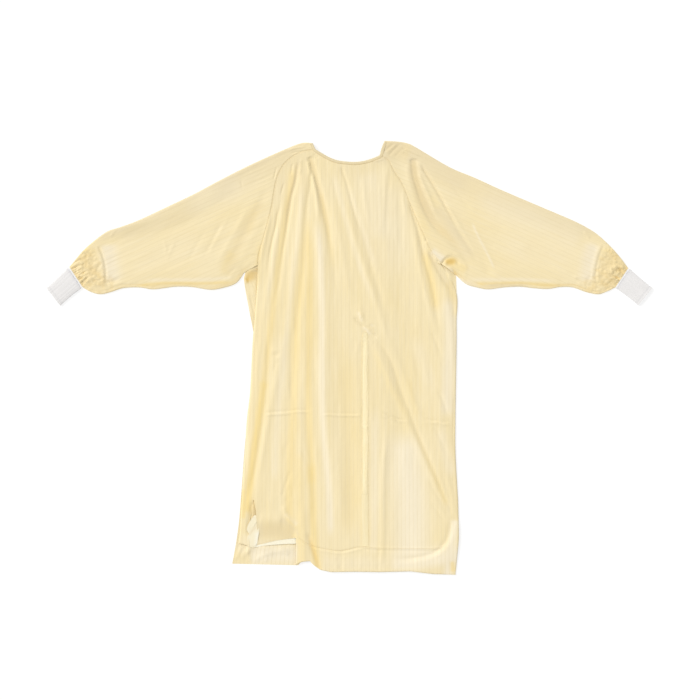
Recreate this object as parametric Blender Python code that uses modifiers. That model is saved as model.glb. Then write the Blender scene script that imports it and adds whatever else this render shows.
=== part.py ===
"""Reusable isolation gown with raglan sleeves and knit cuffs, laid flat, front side up.

Frame: X across the gown (towards the wearer's left sleeve), Y from hem to neck,
Z up from the surface the gown lies on.  Metres.  The tables are in centimetres,
measured on the laid-out gown from the middle of its spread.

Layers, from the surface up: back_panel_right, back_panel_left lapped over it,
the hidden ties, then front_panel.  Each sleeve is one flattened tube whose lower
half lies on the surface.
"""
import bpy
import bmesh
import math
import numpy as np
from mathutils import Vector
from mathutils.bvhtree import BVHTree

# ---------------------------------------------------------------- sizes
CM = 0.01
CLOTH = 0.0015          # wall of every woven panel
KNIT = 0.0018           # wall of the knit cuffs
TAPE = 0.0010           # thickness of the ties and of the neck binding
TAPE_WIDTH = 0.0170     # width of a tie
BINDING_WIDTH = 0.0070
CLEAR = 0.0004          # room between pieces that lie on each other
SEAM_HALF = 0.0003      # half the room left along a seam
BASE_SIDE = 0.0050      # mid height of the upper cloth over the sides and sleeves
BASE_MIDDLE = 0.0080    # and over the lapped back
LAP_HEIGHT = 0.0032     # how far the upper back panel is lifted over the lower
LAP_FROM, LAP_TO = -11.0, -8.0      # cm across: where that lift starts and ends
CUFF_HEIGHT = 0.0072    # outer height of a flattened cuff
FOLD_RADIUS = 0.0022    # inside the folded long edges of the sleeves

# ---------------------------------------------------------------- outline tables (cm)
# Front neckline, wearer's right to left: (across, up)
NECKLINE = [(-9.1, 55.1), (-7.8, 54.3), (-5.7, 53.1), (-3.6, 52.3), (-1.2, 51.9),
            (1.1, 51.5), (3.3, 51.8), (5.7, 52.5), (8.1, 53.5)]

# Front panel, a row for each level below the neckline:
# (left across, left up, right across, right up, dip of the row's middle)
# The first eight rows end on the two raglan seams, the rest on the side folds.
FRONT_ROWS = [
    (-13.1, 54.3, 10.2, 52.3, 2.7),
    (-16.3, 52.3, 11.0, 50.7, 1.9),
    (-18.3, 49.7, 11.9, 49.0, 1.3),
    (-19.6, 46.0, 13.9, 46.0, 0.8),
    (-20.7, 39.5, 16.3, 39.9, 0.3),
    (-22.7, 31.8, 19.5, 32.7, 0.0),
    (-24.0, 27.4, 21.6, 28.2, 0.0),
    (-24.3, 24.6, 24.0, 25.0, 0.0),
    (-24.5, 18.9, 28.3, 17.4, 0.0),
    (-25.2, 9.9, 28.4, 9.4, 0.0),
    (-25.7, 3.3, 28.4, 2.8, 0.0),
    (-26.3, -8.6, 28.2, -9.1, 0.0),
    (-27.2, -16.6, 28.1, -16.6, 0.0),
    (-27.7, -24.5, 28.1, -24.8, 0.0),
    (-28.4, -33.8, 28.6, -34.6, 0.0),
    (-28.6, -37.8, 28.8, -38.0, 0.0),
    (-28.8, -40.9, 28.9, -41.7, 0.0),
    (-29.0, -45.2, 29.0, -45.7, 0.0),
]
SEAM_ROWS = 8           # rows 0 (the neckline) to 8 end on the raglan seams
ROW_SLIT = 16           # the row where the slit at the lower left opens
ROW_HEM_SEAM = 19
ROW_HEM = 20

# Slit and turned-under corner: across of the slit's left and right lip and of
# the corner's edge, by row from 15 on
SHARE_LEFT_LIP, SHARE_RIGHT_LIP, SHARE_CORNER = 0.055, 0.060, 0.252
LIPS = {15: (-25.3, -25.0, -14.1), 16: (-25.5, -25.2, -14.1), 17: (-26.5, -24.6, -14.2),
        18: (-27.1, -24.4, -14.2), 19: (-26.6, -24.5, -14.2), 20: (-26.6, -24.5, -14.2)}

HEM_SEAM = [(-29.5, -49.2), (-26.4, -50.0), (-24.5, -49.8), (-19.5, -49.0), (-14.2, -48.4),
            (-11.8, -49.2), (-8.9, -50.4), (-2.6, -51.4), (2.8, -50.4), (8.3, -50.7),
            (16.2, -50.8), (23.1, -50.7), (28.9, -49.4)]
HEM = [(-30.5, -55.1), (-14.2, -55.1), (-12.7, -54.2), (-10.5, -54.0), (-9.3, -55.2), (-7.7, -56.3),
       (-4.9, -56.9), (1.5, -56.8), (7.8, -56.9), (16.2, -56.7), (22.1, -57.4), (28.1, -57.6)]

# Sleeves: the folded top edge, the folded under edge, and the armhole end of the
# front and of the back half, from the neck to the underarm.
LEFT_TOP = [(-9.9, 56.8), (-12.1, 56.9), (-14.6, 56.2), (-20.5, 53.7), (-27.4, 50.5),
            (-34.3, 47.0), (-41.2, 43.3), (-48.1, 40.0), (-55.8, 36.4), (-60.6, 34.6),
            (-64.0, 33.5), (-67.2, 31.3), (-70.4, 28.5), (-72.5, 26.1), (-74.3, 24.0)]
LEFT_UNDER = [(-28.0, 22.4), (-30.1, 19.7), (-33.8, 18.4), (-37.1, 18.0), (-41.7, 18.7),
              (-46.0, 18.8), (-49.2, 18.4), (-52.3, 18.1), (-55.8, 18.6), (-60.0, 18.4),
              (-63.2, 17.4), (-66.1, 16.8), (-68.8, 17.5), (-70.8, 18.7)]
LEFT_BACK_END = [(-9.9, 56.8), (-11.0, 54.6), (-14.0, 53.4), (-17.6, 51.1), (-20.0, 48.1),
                 (-21.6, 44.3), (-22.9, 38.6), (-24.8, 31.7), (-26.6, 26.4), (-28.0, 22.4)]
RIGHT_TOP = [(9.4, 57.4), (13.0, 57.2), (15.5, 56.7), (17.6, 55.7), (26.4, 50.5),
             (33.0, 47.7), (39.1, 44.9), (45.1, 42.3), (55.0, 38.1), (59.2, 36.3),
             (62.6, 34.6), (65.6, 32.7), (69.0, 29.6), (71.7, 26.6), (73.9, 23.7)]
RIGHT_UNDER = [(28.6, 21.5), (30.9, 19.5), (33.8, 18.6), (36.8, 18.1), (40.9, 18.6),
               (45.1, 18.8), (48.9, 18.4), (52.6, 18.2), (56.0, 18.7), (59.2, 18.6),
               (62.7, 17.4), (65.9, 16.8), (68.2, 17.5), (70.5, 18.6)]
RIGHT_BACK_END = [(9.4, 57.4), (10.8, 54.8), (14.0, 53.4), (17.2, 51.0), (19.6, 47.6),
                  (21.2, 43.5), (22.6, 37.5), (24.6, 31.0), (26.6, 26.0), (28.6, 21.5)]
# Between the end of the front seam and the underarm the sleeve's edge is free
LEFT_FREE = [(-26.2, 23.5), (-28.0, 22.4)]
RIGHT_FREE = [(26.1, 23.6), (28.6, 21.5)]

# Cuffs: joint top, joint bottom, end top, end bottom
LEFT_CUFF = [(-74.7, 23.8), (-71.1, 18.4), (-80.3, 18.4), (-76.7, 13.8)]
RIGHT_CUFF = [(74.3, 23.5), (70.8, 18.3), (80.3, 18.4), (76.6, 13.9)]

# Back panels: outer edge below the underarm, then the hem corner (across, up)
LEFT_SIDE = [(-27.8, 21.0), (-27.4, 18.4), (-26.3, 12.0), (-25.3, 5.6), (-25.6, -1.0),
             (-26.2, -9.0), (-27.1, -17.0), (-27.9, -25.0), (-28.7, -36.0), (-29.3, -43.3),
             (-30.1, -49.2), (-31.1, -54.7)]
RIGHT_SIDE = [(28.4, 17.4), (28.1, 9.4), (28.1, 2.8), (27.9, -9.1), (27.8, -16.6),
              (27.8, -24.8), (28.2, -34.6), (28.5, -41.7), (28.6, -45.7), (28.5, -49.4),
              (28.1, -53.4), (27.7, -57.0)]
LEFT_LAP_EDGE, RIGHT_LAP_EDGE = 6.8, -6.5      # free centre-back edges
# Back neck edge, a little below the front one: (across, up)
BACK_NECK = [(-11.0, 54.3), (-8.3, 52.7), (-5.7, 51.4), (-2.5, 50.5), (0.7, 50.2),
             (3.8, 50.5), (7.0, 51.3), (10.8, 54.4)]

# The largest folds: (height mm, half width cm, the line it follows in cm)
FOLDS = [
    (-3.0, 1.5, [(-9.9, 52.4), (-6.8, 40.9), (-2.3, 28.2), (2.4, 9.7)]),
    (3.0, 1.7, [(-12.3, 50.5), (-9.6, 40.0), (-5.2, 28.0), (-1.0, 12.0)]),
    (-3.0, 1.6, [(-2.2, 49.5), (2.4, 34.6), (7.8, 16.6), (11.1, 8.3)]),
    (-3.4, 1.6, [(6.1, 5.4), (11.5, -3.3), (16.6, -14.7), (19.9, -24.0), (24.5, -33.1), (27.2, -40.0)]),
    (2.4, 1.9, [(3.6, 3.0), (8.6, -6.0), (13.5, -16.0), (17.0, -25.0), (21.8, -35.0)]),
    (3.2, 1.6, [(-15.5, 50.6), (-16.7, 38.2), (-18.7, 28.2), (-20.5, 18.9)]),
    (-3.2, 1.4, [(-18.8, 30.0), (-21.5, 12.0), (-23.4, -4.0), (-24.6, -22.0), (-25.8, -37.0)]),
    (3.0, 1.6, [(-16.2, 26.0), (-18.6, 10.0), (-20.0, -6.0), (-22.0, -26.0), (-23.6, -38.0)]),
    (2.6, 1.6, [(-12.2, 6.0), (-13.2, -14.0), (-13.6, -44.0)]),
    (2.2, 1.8, [(9.5, -18.0), (9.6, -36.0), (8.8, -55.0)]),
    (3.4, 1.5, [(-13.0, -45.0), (-12.6, -54.4)]),
    (-3.0, 1.6, [(-17.0, -44.0), (-18.6, -47.5)]),
    (3.2, 2.2, [(14.6, 46.0), (19.0, 38.0), (21.5, 30.0), (25.0, 18.0)]),
    (-3.2, 1.6, [(16.8, 51.6), (18.7, 46.0), (20.9, 40.7), (23.2, 34.6), (28.0, 28.0)]),
    (3.0, 2.2, [(26.5, 5.0), (25.6, -14.0), (26.4, -44.0)]),
    # wearer's right sleeve
    (3.2, 1.8, [(-31.1, 38.3), (-34.0, 32.0), (-38.3, 25.3)]),
    (-3.0, 1.7, [(-21.9, 45.4), (-27.2, 36.7), (-32.7, 27.4), (-35.9, 21.9)]),
    (-2.6, 1.6, [(-62.9, 31.8), (-51.3, 33.5), (-43.6, 36.2), (-32.7, 42.3)]),
    (3.0, 1.6, [(-61.0, 29.5), (-50.0, 30.5), (-42.0, 33.0)]),
    (-3.4, 1.2, [(-67.4, 29.4), (-65.6, 26.0), (-65.2, 21.0), (-65.4, 18.0)]),
    (3.4, 1.6, [(-64.2, 30.0), (-62.6, 25.5), (-62.4, 19.5)]),
    # wearer's left sleeve
    (3.2, 1.8, [(30.9, 35.6), (34.5, 29.0), (38.6, 22.4)]),
    (-2.8, 1.6, [(26.4, 46.9), (49.4, 36.2), (63.2, 31.8)]),
    (3.0, 1.6, [(28.0, 42.5), (48.0, 33.0), (61.0, 29.0)]),
    (-3.4, 1.2, [(67.2, 29.4), (65.9, 26.9), (65.4, 23.7), (65.2, 20.5), (66.0, 18.0)]),
    (3.4, 1.6, [(64.2, 30.0), (62.8, 25.5), (62.4, 19.5)]),
]

# Ties: (across, up) of the middle of the tape, from its sewn end to its free end
WAIST_TIE_X = 3.95
WAIST_TIE_TOP, WAIST_TIE_SHORT, WAIST_TIE_LONG = 8.0, -36.2, -49.2
BACK_TIE_LEFT = [(5.8, 5.7), (5.0, -6.0), (2.0, -20.0), (-3.0, -34.0), (-8.0, -43.5),
                 (-13.0, -47.6), (-19.0, -48.9), (-23.2, -49.2), (-25.3, -47.6),
                 (-25.9, -44.6), (-25.5, -41.6)]
BACK_TIE_RIGHT = [(-5.3, 5.7), (-4.6, -8.0), (-4.2, -24.0), (-4.4, -40.0)]
NECK_TIE_LEFT = [(5.5, 49.6), (5.9, 40.0), (6.1, 30.0), (5.6, 20.0)]
NECK_TIE_RIGHT = [(-5.2, 49.6), (-4.9, 38.0), (-4.6, 26.0), (-4.8, 18.0)]


# ---------------------------------------------------------------- small helpers
def smooth_rows(table, at):
    """Values of a table of rows at fractional row numbers, on a smooth curve."""
    t = np.asarray(table, float)
    at = np.clip(np.atleast_1d(np.asarray(at, float)), 0, len(t) - 1)
    k = np.minimum(at.astype(int), len(t) - 2)
    f = (at - k).reshape((-1,) + (1,) * (t.ndim - 1))
    before, after = t[np.maximum(k - 1, 0)], t[np.minimum(k + 2, len(t) - 1)]
    p, q = t[k], t[k + 1]
    mp, mq = (q - before) / 2, (after - p) / 2
    return ((2 * f**3 - 3 * f**2 + 1) * p + (f**3 - 2 * f**2 + f) * mp
            + (3 * f**2 - 2 * f**3) * q + (f**3 - f**2) * mq)


def along(table, share):
    """Points of a smooth curve through the table at shares of its length."""
    fine = np.linspace(0, len(table) - 1, 24 * (len(table) - 1) + 1)
    pts = smooth_rows(table, fine)
    run = np.concatenate([[0], np.cumsum(np.hypot(*np.diff(pts, axis=0).T))])
    want = np.atleast_1d(share) * run[-1]
    return np.stack([np.interp(want, run, pts[:, i]) for i in (0, 1)], 1)


def height_at(table, across):
    t = np.asarray(table, float)
    return np.interp(across, t[:, 0], t[:, 1])


def ease(x):
    x = np.clip(x, 0, 1)
    return x * x * (3 - 2 * x)


def fold_relief(x, y):
    """Height in metres that the folds add at a point given in cm."""
    x, y = np.asarray(x, float), np.asarray(y, float)
    total = np.zeros(np.broadcast(x, y).shape)
    for height, half, line in FOLDS:
        pts = along(line, np.linspace(0, 1, 12))
        best = np.full(total.shape, 1e9)
        where = np.zeros(total.shape)
        for i, (a, b) in enumerate(zip(pts[:-1], pts[1:])):
            d = b - a
            t = np.clip(((x - a[0]) * d[0] + (y - a[1]) * d[1]) / (d @ d), 0, 1)
            gap = np.hypot(x - a[0] - t * d[0], y - a[1] - t * d[1])
            nearer = gap < best
            best = np.where(nearer, gap, best)
            where = np.where(nearer, (i + t) / (len(pts) - 1), where)
        ends = ease(where / 0.15) * ease((1 - where) / 0.15)
        total += height / 1000 * (0.25 + 0.75 * ends) * np.exp(-(best / half) ** 2)
    return total


def upper(x, y):
    """Mid height of the upper layer of cloth at a point given in cm."""
    x = np.asarray(x, float)
    middle = ease((x + 17) / 6) * ease((14 - x) / 5)
    base = BASE_SIDE + (BASE_MIDDLE - BASE_SIDE) * middle
    return base + 0.0022 + np.maximum(fold_relief(x, y), -0.0022)


def grid_object(name, points, material, thickness, wrap=False, drop=None):
    """A sheet of points[row, column] made a wall of the given thickness."""
    rows, cols = points.shape[:2]
    bm = bmesh.new()
    bmesh.ops.create_grid(bm, x_segments=cols - 1, y_segments=rows - 1, size=1.0)
    order = sorted(bm.verts, key=lambda v: (-round(v.co.y, 5), round(v.co.x, 5)))
    place = {}
    for n, v in enumerate(order):
        place[v] = divmod(n, cols)
        v.co = points[n // cols, n % cols]
    if drop:
        gone = [f for f in bm.faces
                if drop(min(place[v][0] for v in f.verts), min(place[v][1] for v in f.verts))]
        bmesh.ops.delete(bm, geom=gone, context="FACES")
    if wrap:
        bmesh.ops.remove_doubles(bm, verts=bm.verts, dist=0.00001)
    bmesh.ops.recalc_face_normals(bm, faces=bm.faces)
    mesh = bpy.data.meshes.new(name)
    bm.to_mesh(mesh)
    bm.free()
    mesh.shade_smooth()
    ob = bpy.data.objects.new(name, mesh)
    home.objects.link(ob)
    mesh.materials.append(material)
    wall = ob.modifiers.new("wall", "SOLIDIFY")
    wall.thickness = thickness
    wall.offset = 0.0
    wall.use_even_offset = True
    wall.use_rim = True
    return ob


def lift(points, z):
    return np.concatenate([np.asarray(points) * CM, np.asarray(z)[..., None]], -1)


def cloth_material(name, colour, roughness):
    mat = bpy.data.materials.new(name)
    mat.use_nodes = True
    shader = mat.node_tree.nodes["Principled BSDF"]
    shader.inputs["Base Color"].default_value = (*colour, 1.0)
    shader.inputs["Roughness"].default_value = roughness
    shader.inputs["Metallic"].default_value = 0.0
    return mat


def turn(path):
    """Unit directions across a path, to its left."""
    step = np.gradient(np.asarray(path, float), axis=0)
    step /= np.linalg.norm(step, axis=1)[:, None]
    return np.stack([-step[:, 1], step[:, 0]], 1)


def surface_over(objects):
    """A function giving the highest cloth at (x, y) in metres."""
    graph = bpy.context.evaluated_depsgraph_get()
    trees = [BVHTree.FromObject(ob, graph) for ob in objects]

    def highest(x, y):
        tops = [t.ray_cast(Vector((x, y, 1.0)), Vector((0, 0, -1)))[0] for t in trees]
        return max([p.z for p in tops if p is not None], default=0.0)
    return highest


def tape_on(name, path, material, highest, step=2.4):
    """A flat tape that lies on whatever is under it."""
    length = np.sum(np.hypot(*np.diff(along(path, np.linspace(0, 1, 60)), axis=0).T))
    mid = along(path, np.linspace(0, 1, max(4, int(length / step))))
    side = turn(mid) * TAPE_WIDTH / 2 / CM
    reach = step * CM * 0.6
    tops = []
    for (x, y), (sx, sy) in zip(mid * CM, side * CM):
        tops.append(max(highest(x + a * sx - b * sy / (TAPE_WIDTH / 2) * reach,
                                y + a * sy + b * sx / (TAPE_WIDTH / 2) * reach)
                        for a in (-1.1, -0.5, 0, 0.5, 1.1) for b in (-1, -0.5, 0, 0.5, 1)))
    tops = np.array(tops)
    tops = np.maximum(tops, np.maximum(np.roll(tops, 1), np.roll(tops, -1)) - 0.0006)
    z = tops + CLEAR + TAPE / 2
    points = np.stack([lift(mid + side, z), lift(mid - side, z)], 1)
    return grid_object(name, points, material, TAPE)


# ---------------------------------------------------------------- scene
for old in list(bpy.data.objects):
    bpy.data.objects.remove(old, do_unlink=True)
home = bpy.data.collections.new("isolation_gown")
bpy.context.scene.collection.children.link(home)

yellow = cloth_material("gown_cloth", (0.93, 0.80, 0.50), 0.55)
tape = cloth_material("tie_tape", (0.94, 0.82, 0.55), 0.60)
binding = cloth_material("neck_binding", (0.88, 0.70, 0.38), 0.60)
knit = cloth_material("cuff_knit", (0.86, 0.87, 0.90), 0.85)

# ---------------------------------------------------------------- front panel
left_edge = [NECKLINE[0]] + [r[0:2] for r in FRONT_ROWS]
right_edge = [NECKLINE[-1]] + [r[2:4] for r in FRONT_ROWS]


def front_row(number, shares):
    """Points of one row of the front panel at the given shares of its width."""
    if number == 0:
        return along(NECKLINE, shares)
    if number in (ROW_HEM_SEAM, ROW_HEM):
        table = HEM_SEAM if number == ROW_HEM_SEAM else HEM
        lx, rx = table[0][0], table[-1][0]
    else:
        lx, ly, rx, ry, dip = FRONT_ROWS[number - 1]
    a, b, c = LIPS.get(number, tuple(lx + (rx - lx) * s
                                     for s in (SHARE_LEFT_LIP, SHARE_RIGHT_LIP, SHARE_CORNER)))
    x = np.interp(shares, [0, SHARE_LEFT_LIP, SHARE_RIGHT_LIP, SHARE_CORNER, 1], [lx, a, b, c, rx])
    if number in (ROW_HEM_SEAM, ROW_HEM):
        y = height_at(table, x)
    else:
        y = ly + (ry - ly) * shares - dip * 4 * shares * (1 - shares)
    return np.stack([x, y], 1)


def front_points(row_numbers, shares):
    net = np.array([front_row(n, shares) for n in range(ROW_HEM + 1)])
    return smooth_rows(net, row_numbers)


columns = np.array([0, 0.0275, SHARE_LEFT_LIP, SHARE_RIGHT_LIP, 0.105, 0.15, 0.20, SHARE_CORNER]
                   + [SHARE_CORNER + (1 - SHARE_CORNER) * i / 15 for i in range(1, 16)])
SEAM_LEVELS = [0, 1, 2, 3, 4, 4.5, 5, 5.5, 6, 7, SEAM_ROWS]
levels = np.array(SEAM_LEVELS
                  + [9, 9.5, 10, 10.5, 11, 11.5, 12, 12.5, 13, 13.5, 14, 14.5, 15,
                     ROW_SLIT, 17, 18, ROW_HEM_SEAM, 19.5, ROW_HEM])
plan = front_points(levels, columns)

# leave the seam room along both raglan seams, square to the seam
seam_n = len(SEAM_LEVELS)
seam_left_curve = smooth_rows(left_edge[:SEAM_ROWS + 1], levels[:seam_n])
seam_right_curve = smooth_rows(right_edge[:SEAM_ROWS + 1], levels[:seam_n])
away_left = turn(seam_left_curve)           # points to the panel's side
away_right = -turn(seam_right_curve)
plan[:seam_n, 0] = seam_left_curve + away_left * SEAM_HALF / CM
plan[:seam_n, -1] = seam_right_curve + away_right * SEAM_HALF / CM

z = upper(plan[..., 0], plan[..., 1])
# the side folds come down towards the back panels
for r, level in enumerate(levels):
    if level > SEAM_ROWS + 0.5:
        inward_left = plan[r, :, 0] - plan[r, 0, 0]
        inward_right = plan[r, -1, 0] - plan[r, :, 0]
        near = np.minimum(inward_left, inward_right)
        z[r] = z[r] + (0.0034 - z[r]) * (1 - ease(near / 1.6))

slit_left = int(np.where(columns == SHARE_LEFT_LIP)[0][0])
corner = int(np.where(columns == SHARE_CORNER)[0][0])
slit_row = int(np.where(levels == ROW_SLIT)[0][0])
hem_seam_row = int(np.where(levels == ROW_HEM_SEAM)[0][0])


def cut_away(row, col):
    return (col == slit_left and row >= slit_row) or (col < corner and row >= hem_seam_row)


front = grid_object("front_panel", lift(plan, z), yellow, CLOTH, drop=cut_away)
front_plan, front_z = plan, z


# ---------------------------------------------------------------- sleeves and cuffs
ACROSS = np.array([0.22, 0.42, 0.62, 0.82])      # shares of a half's width, under edge to top


def flat_tube(name, top, front_low, back_low, closed_from, material, wall, height_of, low):
    """A flattened tube, a row for each cross-section: the top fold, the front half's
    lower edge and the back half's lower edge.  The two halves are one cloth over the
    top fold, and from section closed_from on also round the under fold."""
    count = len(top)
    closed = (np.arange(count) >= closed_from).astype(float)[:, None]
    width = np.linalg.norm(top - front_low, axis=1)[:, None]
    reach = np.minimum(FOLD_RADIUS * 0.75 / CM, width * 0.08) / width
    columns = []
    for half, edge in ((0, front_low), (1, back_low)):
        shares = [reach * 0.2, reach] + [np.full_like(reach, a) for a in ACROSS] \
            + [1 - reach, 1 - reach * 0.2]
        strip = [edge + (top - edge) * sh for sh in shares]
        xy = np.stack([edge] + strip, 1)
        z = height_of(xy[..., 0], xy[..., 1]) if half == 0 else np.full(xy.shape[:2], low)
        columns.append((xy, z))
    (fx, fz), (bx, bz) = columns
    level_top = (fz[:, -1] + low) / 2
    level_low = (fz[:, 0] + low) / 2
    fz[:, -1] = fz[:, -1] * 0.8 + level_top * 0.2
    bz[:, -1] = bz[:, -1] * 0.8 + level_top * 0.2
    bz[:, -2] += 0.0003
    turned = closed[:, 0]
    bz[:, 2] += 0.0003 * turned
    if closed_from > 0:
        bz[closed_from - 1, :2] += 0.0005
    for z in (fz, bz):
        z[:, 1] += (level_low - z[:, 1]) * 0.2 * turned
        z[:, 0] += (level_low - z[:, 0]) * turned
    ring = [lift(fx[:, i], fz[:, i]) for i in range(fx.shape[1])] \
        + [lift(top, level_top)] \
        + [lift(bx[:, i], bz[:, i]) for i in range(bx.shape[1] - 1, -1, -1)]
    grid_object(name, np.stack(ring, 1), material, wall, wrap=True)
    return fx, fz


# Sections of a sleeve: the share of the top fold that each level of the raglan
# seam hangs from, then the free edge and the underarm
TOP_SHARES = [0.0, 0.037, 0.093, 0.145, 0.205, 0.243, 0.280, 0.318, 0.355, 0.390, 0.413, 0.427, 0.442]
UNDER_SECTIONS = 11
BACK_SHARES = np.linspace(0, 1, len(TOP_SHARES))


def back_seam(end):
    """Points of the back raglan seam, one for each section."""
    return along(end[1:], BACK_SHARES)


def sleeve(name, top, under, seam_curve, away, free, back_end):
    further = np.linspace(0, 1, UNDER_SECTIONS + 1)[1:]
    shares = np.concatenate([TOP_SHARES, TOP_SHARES[-1] + (1 - TOP_SHARES[-1]) * further])
    fold = along(top, shares)
    under_edge = along(under, further)
    front_low = np.concatenate([seam_curve - away * SEAM_HALF / CM, free, under_edge])
    back = back_seam(back_end)
    side = turn(back) * (1 if name.endswith("left") else -1)
    back[:-1] -= side[:-1] * SEAM_HALF / CM
    back_low = np.concatenate([back, under_edge])

    def heights(x, y):
        h = upper(x, y)
        to_cuff = np.hypot(x - fold[-1, 0], y - fold[-1, 1])
        end = 1 - ease((to_cuff - 6.5) / 5.0)
        return h * (1 - end) + end * (CUFF_HEIGHT - KNIT / 2)
    return flat_tube(name, fold, front_low, back_low, len(TOP_SHARES) - 1, yellow, CLOTH,
                     heights, CLOTH / 2)


left_half = sleeve("sleeve_left", LEFT_TOP, LEFT_UNDER, seam_left_curve, away_left, LEFT_FREE, LEFT_BACK_END)
right_half = sleeve("sleeve_right", RIGHT_TOP, RIGHT_UNDER, seam_right_curve, away_right, RIGHT_FREE, RIGHT_BACK_END)


def cuff(name, corners):
    jt, jb, et, eb = (np.array(c) for c in corners)
    s = np.linspace(0, 1, 5)[:, None]
    top, low = jt + (et - jt) * s, jb + (eb - jb) * s
    return flat_tube(name, top, low, low, 0, knit, KNIT,
                     lambda x, y: np.full(x.shape, CUFF_HEIGHT - KNIT / 2), KNIT / 2)


cuff("cuff_left", LEFT_CUFF)
cuff("cuff_right", RIGHT_CUFF)

# ---------------------------------------------------------------- back panels
def back_panel(name, armhole, side, lap_edge, neck_share, fixed, hem_lap, raised):
    """One back panel from its armhole and side edge to its free centre-back edge."""
    shares = np.linspace(0, 1, 7)[1:]
    outer = np.concatenate([armhole, smooth_rows(side, np.arange(len(side)))])
    down = np.concatenate([[0], np.cumsum(np.hypot(*np.diff(outer, axis=0).T))])
    down /= down[-1]
    rows = []
    neck = along(BACK_NECK, np.linspace(*neck_share, 30))
    for (x0, y0), d in zip(outer, down):
        to_first = np.linspace(x0, fixed[0], 5)[:-1]
        xs = np.concatenate([to_first, fixed])
        level = ease((d / 0.30))
        neck_y = height_at(sorted(neck.tolist()), xs)
        flat_y = y0 + (hem_lap - side[-1][1]) * np.abs(xs - x0) / abs(lap_edge - x0) * d
        y = neck_y + (outer[0][1] - neck_y[0]) * np.exp(-np.abs(xs - x0) / 2.0) if d == 0 else None
        if d == 0:
            rows.append(np.stack([xs, neck_y], 1))
            rows[-1][0, 1] = y0
        else:
            drop = (outer[0][1] - neck_y) * (1 - level)
            rows.append(np.stack([xs, flat_y - drop], 1))
            rows[-1][0] = (x0, y0)
    pts = np.array(rows)
    z = np.full(pts.shape[:2], CLOTH / 2)
    if raised:
        z += LAP_HEIGHT * ease((pts[..., 0] - LAP_FROM) / (LAP_TO - LAP_FROM))
    return grid_object(name, lift(pts, z), yellow, CLOTH)


def armhole_edge(end, inward):
    """The back panel's share of the back raglan seam, moved off it by the seam room."""
    curve = back_seam(end)
    moved = curve + turn(curve) * inward * SEAM_HALF / CM
    # clear of the turn of the sleeve's under fold
    moved[-3:, 0] += np.array([0.05, 0.16, 0.30]) * inward
    return moved


left_arm = armhole_edge(LEFT_BACK_END, 1)
right_arm = armhole_edge(RIGHT_BACK_END, -1)
back_right = back_panel("back_panel_right", right_arm, RIGHT_SIDE, RIGHT_LAP_EDGE, (1, 0.22),
                        [9.0, 5.0, 1.0, -3.0, RIGHT_LAP_EDGE], -56.2, False)
back_left = back_panel("back_panel_left", left_arm, LEFT_SIDE, LEFT_LAP_EDGE, (0, 0.80),
                       [LAP_FROM, -9.5, LAP_TO, -4.5, 0.0, 3.5, LEFT_LAP_EDGE], -55.6, True)


# ---------------------------------------------------------------- neck binding
# it lies on the neck edge of the front panel and of both sleeves, made from their points
width = BINDING_WIDTH / CM
over = CLOTH / 2 + CLEAR + TAPE / 2


def band_row(outer, inner):
    run = np.hypot(*(inner - outer)[:2])
    return outer, outer + (inner - outer) * min(1.0, width / run)


def sleeve_band(half, picks):
    xy, z = half
    return [band_row(np.array([*xy[0, i], z[0, i]]), np.array([*xy[1, i], z[1, i]])) for i in picks]


neck_rows = [band_row(np.array([*front_plan[0, i], front_z[0, i]]),
                      np.array([*front_plan[1, i], front_z[1, i]]))
             for i in range(1, len(columns) - 1)]
band = np.array(sleeve_band(left_half, [6, 5, 4, 3]) + neck_rows
                + sleeve_band(right_half, [3, 4, 5, 6]))
grid_object("neck_binding", lift(band[..., :2], band[..., 2] + over), binding, TAPE)

# ---------------------------------------------------------------- ties
over_front = surface_over([front])
over_left = surface_over([back_left, back_right])
over_right = surface_over([back_right])

tape_on("neck_tie_left", NECK_TIE_LEFT, tape, over_left)
tape_on("neck_tie_right", NECK_TIE_RIGHT, tape, over_right)
tape_on("back_tie_left", BACK_TIE_LEFT, tape, over_left)
tape_on("back_tie_right", BACK_TIE_RIGHT, tape, over_right)


def waist_tie(name):
    """One tape sewn down at its fold: the long end lies on the gown, the short end on it."""
    step = 2.2
    ys = np.arange(WAIST_TIE_TOP, WAIST_TIE_LONG - 0.01, -step)
    half = TAPE_WIDTH / 2 / CM
    tops = np.array([max(over_front((WAIST_TIE_X + a * half) * CM, (y + b) * CM)
                         for a in (-1.1, -0.5, 0, 0.5, 1.1) for b in (-0.9, -0.45, 0, 0.45, 0.9))
                     for y in ys])
    tops = np.maximum(tops, np.maximum(np.roll(tops, 1), np.roll(tops, -1)) - 0.0006)
    low = tops + CLEAR + TAPE / 2
    turn_radius = 0.0012
    path = [(y, z) for y, z in zip(ys, low)][::-1]
    top_y, top_z = ys[0], low[0]
    for a in (-60, -20, 20, 60):
        r = math.radians(a)
        path.append((top_y + turn_radius * math.cos(r) / CM, top_z + turn_radius + turn_radius * math.sin(r)))
    path += [(y, z + 2 * turn_radius) for y, z in zip(ys, low) if y > WAIST_TIE_SHORT]
    pts = np.array([[(WAIST_TIE_X - half, y), (WAIST_TIE_X + half, y)] for y, z in path])
    zs = np.array([[z, z] for y, z in path])
    return grid_object(name, lift(pts, zs), tape, TAPE)


waist_tie("waist_tie")
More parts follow.
